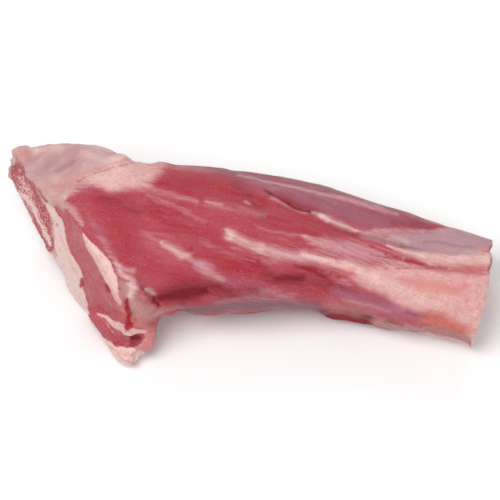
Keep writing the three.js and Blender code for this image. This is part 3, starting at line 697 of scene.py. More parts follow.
def after_modifiers(mesh, name, kind, **settings):
    """A new mesh of one after a modifier; the old one goes."""
    thing = bpy.data.objects.new(name, mesh)
    bpy.context.scene.collection.objects.link(thing)
    modifier = thing.modifiers.new(name, kind)
    for key, value in settings.items():
        setattr(modifier, key, value)
    graph = bpy.context.evaluated_depsgraph_get()
    result = bpy.data.meshes.new_from_object(thing.evaluated_get(graph))
    result.name = name
    result.materials.clear()
    bpy.data.objects.remove(thing)
    bpy.data.meshes.remove(mesh)
    return result


def swollen_copy(node, distance):
    """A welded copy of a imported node, larger all round by a distance in metres."""
    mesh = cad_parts[node].data.copy()
    mesh = after_modifiers(mesh, node + "_copy", "WELD", merge_threshold=1e-6)
    set_points(mesh, points_of(mesh) + normals_of(mesh) * distance)
    return mesh


def faces_of(mesh):
    return [list(face.vertices) for face in mesh.polygons]


def merged(meshes, name):
    """One mesh of several; the old ones go."""
    corners = [points_of(mesh) for mesh in meshes]
    faces = []
    start = 0
    for mesh, points in zip(meshes, corners):
        faces += [[start + v for v in face] for face in faces_of(mesh)]
        start += len(points)
    joined = bpy.data.meshes.new(name)
    joined.from_pydata(np.vstack(corners).tolist(), [], faces)
    for mesh in meshes:
        bpy.data.meshes.remove(mesh)
    return joined


def remeshed(mesh, name, grain):
    return after_modifiers(mesh, name, "REMESH", mode="VOXEL", voxel_size=grain, adaptivity=0)


def new_piece(name, mesh, material):
    """A smooth-shaded object that rides on the part."""
    mesh.materials.append(material)
    mesh.polygons.foreach_set("use_smooth", np.ones(len(mesh.polygons), dtype=bool))
    piece = bpy.data.objects.new(name, mesh)
    bpy.context.scene.collection.objects.link(piece)
    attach(piece, "root")
    return piece


def write_field(mesh, name, values):
    layer = mesh.attributes.new(name, "FLOAT", "POINT")
    layer.data.foreach_set("value", np.asarray(values, dtype=np.float32))


def write_vector(mesh, name, values):
    layer = mesh.attributes.new(name, "FLOAT_VECTOR", "POINT")
    layer.data.foreach_set("vector", np.asarray(values, dtype=np.float32).ravel())


def behind_cut(points, cut):
    """Depth of points behind a cut, and the cut's outward direction."""
    place, slope = np.array(cut[0], float), np.array(cut[1], float)
    steep = np.linalg.norm(slope)
    return (points - place) @ slope / steep, -slope / steep


def cut_face(points, normals, cut):
    """Depth of each vertex behind a cut, and how far it belongs to the cut's face, from 0 to 1."""
    depth, out = behind_cut(points, cut)
    return depth, step(1.6, 0.7, depth) * step(0.4, 0.75, normals @ out)


def picture_height(points):
    """How far up the picture points lie, in mm, without perspective."""
    return points[:, 1] * UP_ACROSS + points[:, 2] * UP_HEIGHT


def picture_axes():
    """Exact directions towards the viewer and up the picture."""
    rise = math.radians(PICTURE_RISE)
    return np.array([0, -math.cos(rise), math.sin(rise)]), np.array([0, math.sin(rise), math.cos(rise)])


def set_out(points):
    """How far the two ends of the shank stand out along it past their flat cuts, in mm."""
    up = picture_height(points)
    knee = 2.1 * step(15, 3, behind_cut(points, KNEE_CUT)[0]) * step(37, 30, up) * step(-37, -29, up)
    hock = 1.1 * step(12, 2, behind_cut(points, HOCK_CUT)[0]) * step(-7, -13, up) * step(-36, -28, up)
    return np.column_stack([hock - knee, np.zeros((len(points), 2))])


class Chart:
    """Where each vertex of a mesh lies on the leg, in mm."""

    def __init__(self, mesh, distance):
        self.points = points_of(mesh) / MM - LEG_TO_FRAME
        self.edges = edges_of(mesh)
        sharp = normals_of(mesh)
        broad = relaxed(sharp, self.edges, 10)
        self.normals = broad / np.linalg.norm(broad, axis=1)[:, None]
        toward, up = picture_axes()
        away = self.points - PICTURE_MIDDLE
        scale = distance / MM / (distance / MM - away @ toward)
        self.picture = np.column_stack([away[:, 0] * scale, away @ up * scale - PICTURE_ZERO])
        self.seen = step(-0.1, 0.12, self.normals @ toward)
        line = np.array(MIDDLE_LINE, float)
        x = self.points[:, 0]
        across = self.points[:, 1] - np.interp(x, line[:, 0], line[:, 1])
        height = self.points[:, 2] - np.interp(x, line[:, 0], line[:, 2])
        self.girth = np.degrees(np.arctan2(height, across)) % 360
        self.wound = np.column_stack([x, np.where(self.girth < 125, self.girth + 360, self.girth) * 0.5])
        radius = np.hypot(across, height)
        twist = np.radians(self.girth - np.interp(x, *np.array(MUSCLE_TWIST, float).T))
        self.fibre = np.column_stack([x, radius * np.cos(twist), radius * np.sin(twist)])
        flat = self.points - set_out(self.points)
        self.knee_depth, self.on_knee = cut_face(flat, sharp, KNEE_CUT)
        self.hock_depth, self.on_hock = cut_face(flat, sharp, HOCK_CUT)
        ragged = noise(self.fibre, (10, 1.8, 1.8), 15, 2) * (1 - 0.7 * self.on_knee) * step(-92, -52, x)
        along = 0.8 * noise(self.points, 10, 11, 2) + 1.3 * ragged
        across = 0.6 * noise(self.points, 10, 17, 2) + 0.25 * noise(self.points, 2.6, 19, 2)
        self.wander = np.column_stack([along, across])
        self.marked = self.picture + self.wander


def hidden_streak(streak):
    """A streak of the hidden sides with its degrees as half millimetres."""
    return Streak(streak.name, streak.strength, [(x, turn * 0.5, width) for x, turn, width in streak.points])


def nearness(points, names, limit=5.0):
    """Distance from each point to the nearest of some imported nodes, up to a limit."""
    graph = bpy.context.evaluated_depsgraph_get()
    trees = [BVHTree.FromObject(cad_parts[name], graph) for name in names]
    result = np.full(len(points), limit)
    for index, place in enumerate((points + LEG_TO_FRAME) * MM):
        for tree in trees:
            reach = tree.find_nearest(place, limit * MM)[3]
            if reach is not None:
                result[index] = min(result[index], reach / MM)
    return result


def tissue_fields(chart):
    """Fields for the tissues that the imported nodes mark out: 0.5 where two of them meet."""
    near_knee = chart.points[:, 0] < -34
    part = chart.points[near_knee]
    wander = 0.7 * noise(part, 6, 61, 2)
    groups = {
        "meat": ("shank_meat", "flap_meat"), "cap": ("fat_cap",), "wedge": ("wedge_fat",),
        "rim": ("rim_fat",), "flap": ("flap_fat",), "lobe": ("flap_lobe",),
    }
    reach = {name: nearness(part, nodes) for name, nodes in groups.items()}
    fields = {}
    for name in groups:
        others = np.minimum.reduce([reach[other] for other in groups if other != name])
        fields[name] = np.zeros(len(chart.points))
        spread = 3 + 5 * (1 - chart.seen[near_knee]) if name == "cap" else 3
        fields[name][near_knee] = np.clip(0.5 + (others - reach[name] + wander) / spread, 0, 1)
    return fields


MARKS = (
    "fat", "pale", "white", "film", "silver", "hockskin", "deep", "bright", "tan", "grey", "plum",
    "mauve", "warm", "blush", "blood",
)
FIRM_MARKS = ("fat", "blood")


def mark_field(chart, name):
    """The strongest of a field's marks at each vertex, on the picture side and on the hidden ones."""
    firm = name in FIRM_MARKS
    places = chart.picture + 0.45 * chart.wander if firm else chart.marked
    shown = np.zeros(len(chart.points))
    for streak in STREAKS.get(name, ()):
        shown = np.maximum(shown, streak_value(places, streak, firm))
    for patch in PATCHES.get(name, ()):
        shown = np.maximum(shown, patch_value(chart.marked, patch))
    hidden = np.zeros(len(chart.points))
    wound = chart.wound + 1.4 * chart.wander
    for streak in HIDDEN_STREAKS.get(name, ()):
        hidden = np.maximum(hidden, streak_value(wound, hidden_streak(streak), firm))
    return np.minimum(np.maximum(shown * chart.seen, hidden * (1 - chart.seen)), 1)


def flesh_fields(chart):
    """All the fields that the flesh is painted and shaped by."""
    tissue = tissue_fields(chart)
    fields = {name: mark_field(chart, name) for name in MARKS}
    x = chart.points[:, 0]
    hidden = 1 - chart.seen
    broad = noise(chart.points, 20, 47, 2)
    streaky = noise(chart.fibre, (34, 6, 6), 53, 3)
    ankle = step(64, 88, x)
    flank = hidden * (1 - chart.on_knee)
    fields["pale"] = np.maximum(fields["pale"], flank * ankle * step(-0.5, 0.3, broad + 0.4 * streaky))
    fields["film"] = np.maximum(fields["film"], flank * 0.75 * step(0.1, 0.9, streaky))
    fields["plum"] = np.maximum(fields["plum"], flank * 0.6 * step(0.0, 0.8, broad))
    fields["deep"] = np.maximum(fields["deep"], flank * 0.5 * (1 - ankle) * step(0.2, 1.0, -streaky))
    at_edge = np.maximum(chart.on_knee, step(2.6, 1.2, chart.knee_depth))
    hidden_rim = tissue["rim"] * at_edge * hidden
    shown_cut = chart.on_knee * chart.seen
    wedge = patch_value(chart.marked, PATCHES["wedge"][0])
    wedge = tissue["wedge"] + (wedge - tissue["wedge"]) * shown_cut
    lean = np.maximum.reduce([patch_value(chart.marked, patch) for patch in PATCHES["lean"]]) * chart.seen
    fields["fat"] = np.maximum.reduce([wedge, hidden_rim, tissue["flap"] * (1 - lean), fields["fat"]])
    fields["fat"] = np.maximum(fields["fat"], chart.on_hock * step(-0.35, 0.1, broad + streaky))
    corner = patch_value(chart.marked, PATCHES["cap"][0]) * chart.seen
    fields["cap"] = np.maximum(tissue["cap"] * (1 - lean), corner)
    fields["lobe"] = tissue["lobe"] * (1 - lean)
    fields["cut"] = np.maximum(chart.on_knee, chart.on_hock)
    for name in ("silver", "hockskin", "film", "plum", "grey", "tan"):
        fields[name] = fields[name] * (1 - 0.9 * fields["cut"])
    for name in ("pale", "white"):
        fields[name] = fields[name] * (1 - chart.on_knee)
    return fields


def smooth_flesh(mesh, distance):
    """Takes the facets off the flesh, less at the cuts and the flap, which keep their edges."""
    chart = Chart(mesh, distance)
    crisp = relaxed(points_of(mesh), chart.edges, 4)
    round_over = relaxed(crisp, chart.edges, 26)
    flap = Streak("flap", 1, ((-76, -34, 14), (-52, -52, 16)))
    inner = step(1.5, 5, np.minimum(chart.knee_depth, chart.hock_depth))
    share = inner * (1 - 0.35 * streak_value(chart.picture, flap))
    smooth = crisp + (round_over - crisp) * share[:, None]
    leg = smooth / MM - LEG_TO_FRAME
    set_points(mesh, smooth + set_out(leg) * MM)


def outline_push(chart):
    """Shift of each vertex in the plane of the picture that brings the outline to its place, in mm."""
    total = np.zeros((len(chart.points), 3))
    for push in PUSHES:
        along, up = push.shift
        share = streak_value(chart.picture, Streak(push.name, 1, push.points))
        total += share[:, None] * np.array([along, up * UP_ACROSS, up * UP_HEIGHT])
    return total


def bone_seat(chart, tree, depth):
    """Shift that sinks both cut faces of the flesh under the end of the bone, which fills the seat."""
    total = np.zeros((len(chart.points), 3))
    for reach, cut in ((chart.knee_depth, KNEE_CUT), (chart.hock_depth, HOCK_CUT)):
        inward = -behind_cut(chart.points, cut)[1]
        for index in np.flatnonzero(reach < SEAT_REACH):
            place = Vector(chart.points[index] + SEAT_PROBE * inward)
            near, normal, _, away = tree.find_nearest(place, SEAT_PROBE)
            if near is None:
                continue
            inside = away if (place - near).dot(normal) < 0 else -away
            total[index] = inward * depth * step(-0.5, 0.6, inside)
    return total


def shape_flesh(mesh, chart, fields, seat, sizes):
    """Moves the skin of the flesh: ridges, grooves, strands, lumps, rough cuts and the bone's seats."""
    points, fibre = chart.points, chart.fibre
    on_cut = fields["cut"]
    skin = 1 - on_cut
    fat = np.maximum.reduce([fields["cap"], fields["fat"], fields["lobe"], fields["pale"]])
    rise = sum(streak_value(chart.marked, streak) for streak in RIDGES) * chart.seen
    rise += sum(streak_value(chart.wound, hidden_streak(s)) for s in HIDDEN_RIDGES) * (1 - chart.seen)
    rise += sizes.muscle_wave / MM * noise(fibre, (26, 9, 9), 5, 3) * skin * (1 - 0.5 * fat)
    rise += sizes.strand_height / MM * noise(fibre, (10, 1.9, 1.9), 7, 2) * skin * (1 - fat)
    rise += sizes.fat_lumps / MM * fat * noise(points, 8, 13, 3) * (1 - 0.6 * on_cut)
    rise += 0.3 * np.minimum(fields["film"], 0.6) * skin
    rise += 0.5 * fields["tan"] * noise(points, 4.5, 19, 3) * skin
    rise += on_cut * (0.3 * noise(points, 5, 23, 3) + 0.4 * step(0.35, 0.65, fields["fat"]))
    rise -= 0.5 * fields["blood"]
    edge = np.exp(-((chart.knee_depth - 0.5) / 1.6) ** 2) + np.exp(-((chart.hock_depth - 0.5) / 1.6) ** 2)
    rise += 0.8 * edge * skin * noise(points, 3, 29, 3)
    rise = rise * step(0.5, 2.4, points[:, 2])
    moved = points + chart.normals * rise[:, None] + outline_push(chart) + seat
    moved[:, 2] = np.maximum(moved[:, 2], FLOOR_GAP)
    set_points(mesh, (moved + LEG_TO_FRAME) * MM)


# ---- materials ----

class Wiring:
    """Adds nodes to one tree and joins them."""

    def __init__(self, tree):
        self.tree = tree

    def feed(self, node, socket, value):
        target = node.inputs[socket]
        if isinstance(value, bpy.types.NodeSocket):
            self.tree.links.new(value, target)
        else:
            target.default_value = value

    def add(self, kind, inputs=(), **settings):
        node = self.tree.nodes.new(kind)
        for key, value in settings.items():
            setattr(node, key, value)
        for socket, value in dict(inputs).items():
            self.feed(node, socket, value)
        return node

    def maths(self, operation, first, second=0.0):
        return self.add("ShaderNodeMath", {0: first, 1: second}, operation=operation).outputs[0]

    def mix(self, amount, under, over, blend="MIX"):
        inputs = {0: amount, 6: under, 7: over}
        return self.add("ShaderNodeMix", inputs, data_type="RGBA", blend_type=blend).outputs[2]

    def ramp(self, value, low, high, to_low=0.0, to_high=1.0):
        inputs = {0: value, 1: low, 2: high, 3: to_low, 4: to_high}
        return self.add("ShaderNodeMapRange", inputs, interpolation_type="SMOOTHSTEP").outputs[0]

    def noise(self, vector, scale, detail=3.0, rough=0.55, stretch=None, bend=0.0):
        if stretch:
            vector = self.add("ShaderNodeMapping", {"Vector": vector, "Scale": stretch}).outputs[0]
        inputs = {"Vector": vector, "Scale": scale, "Detail": detail, "Roughness": rough, "Distortion": bend}
        return self.add("ShaderNodeTexNoise", inputs).outputs[0]

    def place(self):
        return self.add("ShaderNodeTexCoord").outputs["Object"]

    def field(self, name):
        return self.add("ShaderNodeAttribute", attribute_name=name).outputs["Fac"]

    def group(self, tree, inputs):
        return self.add("ShaderNodeGroup", node_tree=tree, inputs=inputs).outputs

    def mask(self, name, noise, fray, low, high, most=1.0):
        """A field of the mesh as a mask with a frayed edge."""
        inputs = {"Field": self.field(name), "Noise": noise, "Fray": fray, "Low": low, "High": high}
        value = self.group(frayed_edge(), inputs)["Mask"]
        return value if most == 1.0 else self.maths("MULTIPLY", value, most)


NUMBER = "NodeSocketFloat"


def new_group(name, inputs, outputs):
    tree = bpy.data.node_groups.new(name, "ShaderNodeTree")
    for label, kind, default in inputs:
        socket = tree.interface.new_socket(label, in_out="INPUT", socket_type=kind)
        if default is not None:
            socket.default_value = default
    for label in outputs:
        tree.interface.new_socket(label, in_out="OUTPUT", socket_type="NodeSocketFloat")
    wires = Wiring(tree)
    return tree, wires, wires.add("NodeGroupInput").outputs, wires.add("NodeGroupOutput")


def frayed_edge():
    """Turns a field into a mask, its soft edge broken up by a noise."""
    name = "Frayed edge"
    if name in bpy.data.node_groups:
        return bpy.data.node_groups[name]
    tree, wires, given, end = new_group(
        name, (("Field", NUMBER, 0.0), ("Noise", NUMBER, 0.5), ("Fray", NUMBER, 1.0), ("Low", NUMBER, 0.2),
               ("High", NUMBER, 0.7)), ("Mask",))
    open_part = wires.maths("MULTIPLY", given["Field"], wires.maths("SUBTRACT", 1.0, given["Field"]))
    push = wires.maths("MULTIPLY", wires.maths("SUBTRACT", given["Noise"], 0.5), given["Fray"])
    push = wires.maths("MULTIPLY", wires.maths("MULTIPLY", push, open_part), 8.0)
    inputs = {0: wires.maths("ADD", given["Field"], push), 1: given["Low"], 2: given["High"]}
    mask = wires.add("ShaderNodeMapRange", inputs).outputs[0]
    wires.feed(end, "Mask", mask)
    return tree


def moist_surface():
    """Fine relief, uneven shine, and pale specks that are partly fine fat and partly painted glints of the
    wet surface.
    """
    name = "Moist surface"
    if name in bpy.data.node_groups:
        return bpy.data.node_groups[name]
    tree, wires, given, end = new_group(
        name, (("Vector", "NodeSocketVector", None), ("Scale", NUMBER, 600.0), ("Wet", NUMBER, 0.3),
               ("Dry", NUMBER, 0.5)), ("Height", "Roughness", "Specks_and_glints"))
    fine = wires.noise(given["Vector"], given["Scale"], 4.0, 0.6)
    pores = wires.noise(given["Vector"], wires.maths("MULTIPLY", given["Scale"], 2.3), 2.0)
    patchy = wires.noise(given["Vector"], wires.maths("MULTIPLY", given["Scale"], 0.15), 3.0)
    height = wires.maths("ADD", wires.maths("MULTIPLY", fine, 0.7), wires.maths("MULTIPLY", pores, 0.3))
    wires.feed(end, "Height", height)
    wires.feed(end, "Roughness", wires.ramp(patchy, 0.3, 0.7, given["Wet"], given["Dry"]))
    wires.feed(end, "Specks_and_glints", wires.ramp(pores, 0.6, 0.72))
    return tree


def new_material(name, base, height, bump, subsurface, coat):
    """Ends a material: base and height are functions of its wiring, and base leaves its moist surface."""
    material = bpy.data.materials.new(name)
    material.use_nodes = True
    material.node_tree.nodes.clear()
    wires = Wiring(material.node_tree)
    parts = {}
    colour = base(wires, parts)
    shader = wires.add("ShaderNodeBsdfPrincipled")
    wires.feed(shader, "Base Color", colour)
    wires.feed(shader, "Roughness", parts["moist"]["Roughness"])
    inputs = {"Height": height(wires, parts), "Strength": bump[0], "Distance": bump[1]}
    relief = wires.add("ShaderNodeBump", inputs)
    wires.feed(shader, "Normal", relief.outputs[0])
    wires.feed(shader, "Subsurface Weight", subsurface)
    wires.feed(shader, "Subsurface Scale", 0.002)
    wires.feed(shader, "Subsurface Radius", (1.0, 0.35, 0.25))
    wires.feed(shader, "Specular IOR Level", 0.15)
    wires.feed(shader, "Coat Weight", coat)
    wires.feed(shader, "Coat Roughness", 0.22)
    end = wires.add("ShaderNodeOutputMaterial")
    wires.feed(end, "Surface", shader.outputs[0])
    return material


# Layers over the muscle, from the bottom up: field, noise, fray, low, high and greatest cover.
# Among these layers the greyish one paints shade and the reflection of the room along the edges, the dark
# red one paints shade in hollows and creases along with some real dark red tissue, and the pale veil one
# also paints highlights.
FLESH_LAYERS = (
    ("bright", "bundles", 0.5, 0.0, 0.95, 1.0), ("plum", "bundles", 0.5, 0.0, 1.0, 0.9),
    ("silver", "strands", 0.4, 0.0, 1.0, 1.0), ("hockskin", "strands", 0.5, 0.0, 1.0, 1.0),
    ("tan", "mottle", 0.5, 0.0, 1.0, 0.95), ("grey", "strands", 0.5, 0.0, 1.0, 0.95),
    ("deep", "strands", 0.6, 0.0, 0.95, 1.0), ("film", "strands", 0.7, 0.05, 1.0, 0.95),
)


# Layers over those, with tones of their own, in the same terms.
FAT_LAYERS = (
    ("cut", "mottle", 0.4, 0.3, 0.6, 0.9), ("cap", "bundles", 0.9, 0.2, 0.8, 1.0),
    ("mauve", "mottle", 0.4, 0.0, 1.0, 0.7), ("pale", "strands", 0.5, 0.0, 1.0, 1.0),
    ("white", "strands", 0.5, 0.0, 1.0, 1.0), ("fat", "mottle", 0.5, 0.3, 0.7, 1.0),
    ("lobe", "mottle", 0.6, 0.4, 0.6, 1.0), ("warm", "mottle", 0.5, 0.0, 1.0, 0.75),
    ("blush", "mottle", 0.6, 0.0, 1.0, 0.8), ("blood", "mottle", 0.8, 0.05, 0.9, 0.95),
)


def tints(colours):
    return {key: (*getattr(colours, key), 1.0) for key in SEEN_COLOURS}


def flesh_material(colours):
    tint = tints(colours)

    def base(wires, parts):
        mix, ramp = wires.mix, wires.ramp
        fibre = wires.add("ShaderNodeAttribute", attribute_name="fibre").outputs["Vector"]
        place = wires.place()
        parts["strands"] = wires.noise(fibre, 1.0, 4.0, 0.6, (110, 850, 850), 0.5)
        parts["bundles"] = wires.noise(fibre, 1.0, 3.0, 0.55, (45, 260, 260), 0.4)
        parts["mottle"] = wires.noise(place, 420, 3.0, 0.6)
        broad = wires.noise(place, 90, 3.0)
        grit = wires.noise(place, 1900, 2.0, 0.6)
        warp = wires.add("ShaderNodeTexNoise", {"Vector": place, "Scale": 300.0, "Detail": 2.0})
        bent = mix(0.004, place, warp.outputs["Color"])
        moist = wires.group(moist_surface(), {"Vector": place, "Scale": 700.0, "Wet": 0.34, "Dry": 0.52})
        parts["moist"] = moist

        def mottled(low, high, most, under, over):
            return mix(ramp(parts["mottle"], low, high, 0.0, most), tint[under], tint[over])

        colour = mix(ramp(parts["bundles"], 0.35, 0.75, 0.0, 0.5), tint["meat"], tint["meat_pale"])
        colour = mix(ramp(broad, 0.45, 0.75, 0.0, 0.4), colour, tint["bright"])
        colour = mix(ramp(parts["strands"], 0.5, 0.8, 0.0, 0.4), colour, tint["meat_pale"])
        colour = mix(ramp(parts["mottle"], 0.45, 0.75, 0.0, 0.35), colour, tint["meat_pale"])
        frost = wires.noise(fibre, 1.0, 2.0, 0.7, (700, 2400, 2400))
        frost = wires.maths("MULTIPLY", ramp(frost, 0.56, 0.72, 0.0, 0.4), ramp(broad, 0.4, 0.65, 0.25, 1.0))
        for name, noise, *edge in FLESH_LAYERS:
            colour = mix(wires.mask(name, parts[noise], *edge), colour, tint[name])
        # The pale frost and the painted glints stay out of the dark red streaks and their painted shade.
        open_flesh = wires.maths("SUBTRACT", 1.0, wires.field("deep"))
        colour = mix(wires.maths("MULTIPLY", frost, open_flesh), colour, tint["film"])
        bundle_edge = wires.add(
            "ShaderNodeTexVoronoi", {"Vector": bent, "Scale": 300.0}, feature="DISTANCE_TO_EDGE")
        seams = ramp(bundle_edge.outputs["Distance"], 0.12, 0.0)
        seams = wires.maths("MULTIPLY", wires.maths("MULTIPLY", seams, ramp(broad, 0.35, 0.6)), 0.2)
        tones = {
            **tint,
            "cut": mix(seams, mottled(0.4, 0.7, 0.5, "cut", "meat"), tint["film"]),
            "cap": mix(ramp(broad, 0.4, 0.7, 0.0, 0.5), tint["cap"], tint["pale"]),
            "pale": mottled(0.45, 0.75, 0.35, "pale", "cap"),
            "white": tint["fat"],
            "fat": mottled(0.45, 0.75, 0.45, "fat", "cap"),
            "lobe": mottled(0.35, 0.65, 1.0, "blush", "cap"),
        }
        for name, noise, *edge in FAT_LAYERS:
            colour = mix(wires.mask(name, parts[noise], *edge), colour, tones[name])
        # Tiny pale specks over the muscle: partly fine fat, partly painted glints of the wet surface.
        glints_and_flecks = wires.maths("MULTIPLY", wires.maths("MULTIPLY", moist["Specks_and_glints"], 0.08), open_flesh)
        colour = mix(glints_and_flecks, colour, tint["pale"])
        return mix(1.0, colour, ramp(grit, 0.3, 0.7, 0.87, 1.09), "MULTIPLY")

    def height(wires, parts):
        strands = wires.maths("MULTIPLY", parts["strands"], 0.6)
        return wires.maths("ADD", strands, wires.maths("MULTIPLY", parts["moist"]["Height"], 0.6))

    return new_material("raw_flesh", base, height, (0.35, 0.0005), 0.1, 0.06)


def bone_material(colours):
    tint = tints(colours)

    def base(wires, parts):
        mix, ramp = wires.mix, wires.ramp
        place = wires.place()
        moist = wires.group(moist_surface(), {"Vector": place, "Scale": 900.0, "Wet": 0.3, "Dry": 0.5})
        parts["moist"] = moist
        parts["sponge"] = wires.noise(place, 480, 3.0, 0.6)
        crumbs = wires.noise(place, 760, 3.0, 0.65)
        broad = wires.noise(place, 160, 3.0)

        face = mix(ramp(parts["sponge"], 0.3, 0.55), tint["marrow"], tint["bone"])
        face = mix(ramp(crumbs, 0.52, 0.64, 0.0, 0.65), face, tint["speck"])
        face = mix(ramp(broad, 0.5, 0.7, 0.0, 0.45), face, tint["bone"])
        face = mix(wires.mask("crumbs", crumbs, 1.4, 0.2, 0.7), face, tint["speck"])
        shell = mix(ramp(parts["sponge"], 0.4, 0.7, 0.0, 0.6), tint["shell"], tint["blush"])
        face = mix(wires.mask("shell", parts["sponge"], 0.8, 0.3, 0.7), face, shell)
        return mix(wires.mask("side", parts["sponge"], 0.3, 0.3, 0.7), face, shell)

    def height(wires, parts):
        return wires.maths("ADD", parts["sponge"], wires.maths("MULTIPLY", parts["moist"]["Height"], 0.5))

    return new_material("cut_bone", base, height, (0.5, 0.0006), 0.08, 0.2)


# ---- bone ----

BONE_MARKS = {
    "crumbs": streaks(
        ("granular patch", 0.5, (-111.5, 30, 1.4), (-109, 26, 2.4), (-107, 22, 2)),
        ("wavy line", 0.95, (-111.5, 23.5, 0.9), (-108.8, 21, 1), (-106.2, 18, 1.2), (-103, 11.5, 0.9),
         (-99.7, 5, 1.1), (-96.5, -1.5, 0.9)),
    ),
}


def trim_head(points):
    """Narrows the near end of the bone's head in the knee cut, where the fat beside it begins."""
    depth = behind_cut(points, KNEE_CUT)[0]
    rim = (points[:, 1:] - np.array([2.3, 23])) @ TOWARD_VIEWER
    shift = rim * (0.5 * step(13, -9, picture_height(points))) * step(24, 8, depth)
    slope = np.array(KNEE_CUT[1], float)
    moved = points.copy()
    moved[:, 1:] -= shift[:, None] * TOWARD_VIEWER
    moved[:, 0] += shift * (TOWARD_VIEWER @ slope[1:])
    return moved


def bone_body(sizes):
    """The smooth bone in its place, before its faces are roughened."""
    mesh = remeshed(swollen_copy("shank_bone", 0), "cut_bone", sizes.bone_grain)
    if len(mesh.polygons) < BONE_FACES_MIN:
        raise RuntimeError("the bone came out of its remesh empty or far too coarse")
    points = relaxed(points_of(mesh), edges_of(mesh), 3)
    leg = trim_head(points / MM - LEG_TO_FRAME)
    set_points(mesh, (leg + set_out(leg) + LEG_TO_FRAME) * MM)
    return mesh


def rim_distance(points, on_face, out):
    """Distance in mm of each vertex of a face from the face's own edge."""
    side = np.cross(out, (0, 0, 1))
    side /= np.linalg.norm(side)
    flat = np.column_stack([points @ side, points @ np.cross(out, side)])
    middle = flat[on_face].mean(axis=0)
    away = flat - middle
    turn = np.degrees(np.arctan2(away[:, 1], away[:, 0])) % 360
    reach = np.hypot(*away.T)
    sectors = (turn // RIM_SECTOR).astype(int)
    count = 360 // RIM_SECTOR
    furthest = np.array([reach[on_face & (sectors == sector)].max(initial=0) for sector in range(count)])
    furthest = (np.roll(furthest, 1) + furthest + np.roll(furthest, -1)) / 3
    middles = np.arange(-RIM_SECTOR, 360 + 2 * RIM_SECTOR, RIM_SECTOR) + RIM_SECTOR / 2
    return np.interp(turn, middles, np.concatenate([furthest[-1:], furthest, furthest[:2]])) - reach


def bone_fields(chart):
    """Shell, crumbs and side: the fields that the bone is painted and shaped by."""
    fields = {"shell": np.zeros(len(chart.points)), "crumbs": np.zeros(len(chart.points))}
    wander = noise(chart.points, 5, 83, 2)
    for on_face, cut, thickness in ((chart.on_knee, KNEE_CUT, 0.3), (chart.on_hock, HOCK_CUT, 1.9)):
        inside = rim_distance(chart.points, on_face > 0.5, behind_cut(chart.points, cut)[1])
        rim = step(thickness + 0.9, thickness - 0.5, inside + 0.5 * wander)
        fields["shell"] = np.maximum(fields["shell"], rim * on_face)
    wobble = 0.6 * np.column_stack([noise(chart.points, 4, 87, 3), noise(chart.points, 4, 89, 3)])
    for streak in BONE_MARKS["crumbs"]:
        fields["crumbs"] = np.maximum(fields["crumbs"], streak_value(chart.picture + wobble, streak))
    fields["crumbs"] = fields["crumbs"] * chart.on_knee
    fields["side"] = 1 - np.maximum(chart.on_knee, chart.on_hock)
    return fields


def shape_bone(mesh, chart, fields, sizes):
    """Breaks up the cut faces of the bone."""
    on_face = 1 - fields["side"]
    sponge = noise(chart.points, 3.2, 91, 3)
    rise = sizes.bone_crumbs / MM * (0.8 * sponge - 0.35) * (1 - 0.7 * fields["shell"])
    rise += 0.7 * fields["crumbs"] + 0.3 * fields["shell"]
    moved = chart.points + chart.normals * (rise * on_face * step(0.5, 2, chart.points[:, 2]))[:, None]
    set_points(mesh, (moved + LEG_TO_FRAME) * MM)


# ---- operators ----

class SHANK_OT_flesh(bpy.types.Operator):
    """Builds the flesh: muscle, fat and flap grown together, with a seat for the bone at each cut"""
    bl_idname = "shank.flesh"
    bl_label = "Flesh"

    def execute(self, context):
        sizes, colours = context.scene.shank_sizes, context.scene.shank_colours
        meshes = [swollen_copy(name, FLESH_SWELL) for name in FLESH_NODES]
        meshes.append(swollen_copy("shank_bone", BONE_SWELL))
        mesh = remeshed(merged(meshes, "flesh"), "shank_flesh", sizes.grain)
        if len(mesh.polygons) < FLESH_FACES_MIN:
            raise RuntimeError("the flesh came out of its remesh empty or far too coarse")
        smooth_flesh(mesh, sizes.camera_distance)
        chart = Chart(mesh, sizes.camera_distance)
        fields = flesh_fields(chart)
        bone = bone_body(sizes)
        tree = BVHTree.FromPolygons((points_of(bone) / MM - LEG_TO_FRAME).tolist(), faces_of(bone))
        bpy.data.meshes.remove(bone)
        seat = bone_seat(chart, tree, sizes.seat / MM)
        shape_flesh(mesh, chart, fields, seat, sizes)
        for name in (*MARKS, "cap", "lobe", "cut"):
            write_field(mesh, name, fields[name])
        write_vector(mesh, "fibre", chart.fibre * MM)
        piece = new_piece("shank_flesh", mesh, flesh_material(colours))
        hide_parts(*FLESH_NODES)
        return {"FINISHED"}


class SHANK_OT_bone(bpy.types.Operator):
    """Builds the bone with its spongy cut faces"""
    bl_idname = "shank.bone"
    bl_label = "Bone"

    def execute(self, context):
        sizes, colours = context.scene.shank_sizes, context.scene.shank_colours
        mesh = bone_body(sizes)
        chart = Chart(mesh, sizes.camera_distance)
        fields = bone_fields(chart)
        shape_bone(mesh, chart, fields, sizes)
        for name, values in fields.items():
            write_field(mesh, name, values)
        piece = new_piece("cut_bone", mesh, bone_material(colours))
        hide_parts("shank_bone")
        return {"FINISHED"}


# Lights: name, place, width and power; all face a point over the middle of the shank.
LIGHTS = (
    ("window", (-0.4, -0.35, 1.1), 0.9, 11), ("fill", (0.7, -0.9, 0.8), 1.0, 4.5),
    ("back", (0.2, 1.0, 0.7), 0.8, 4),
)
LIGHT_TARGET = (0, 0, 0.02)
ROOM_STRENGTH = 0.36
FLOOR_CORNERS = ((-3, -3, 0), (3, -3, 0), (3, 3, 0), (-3, 3, 0))
SENSOR_WIDTH = 36


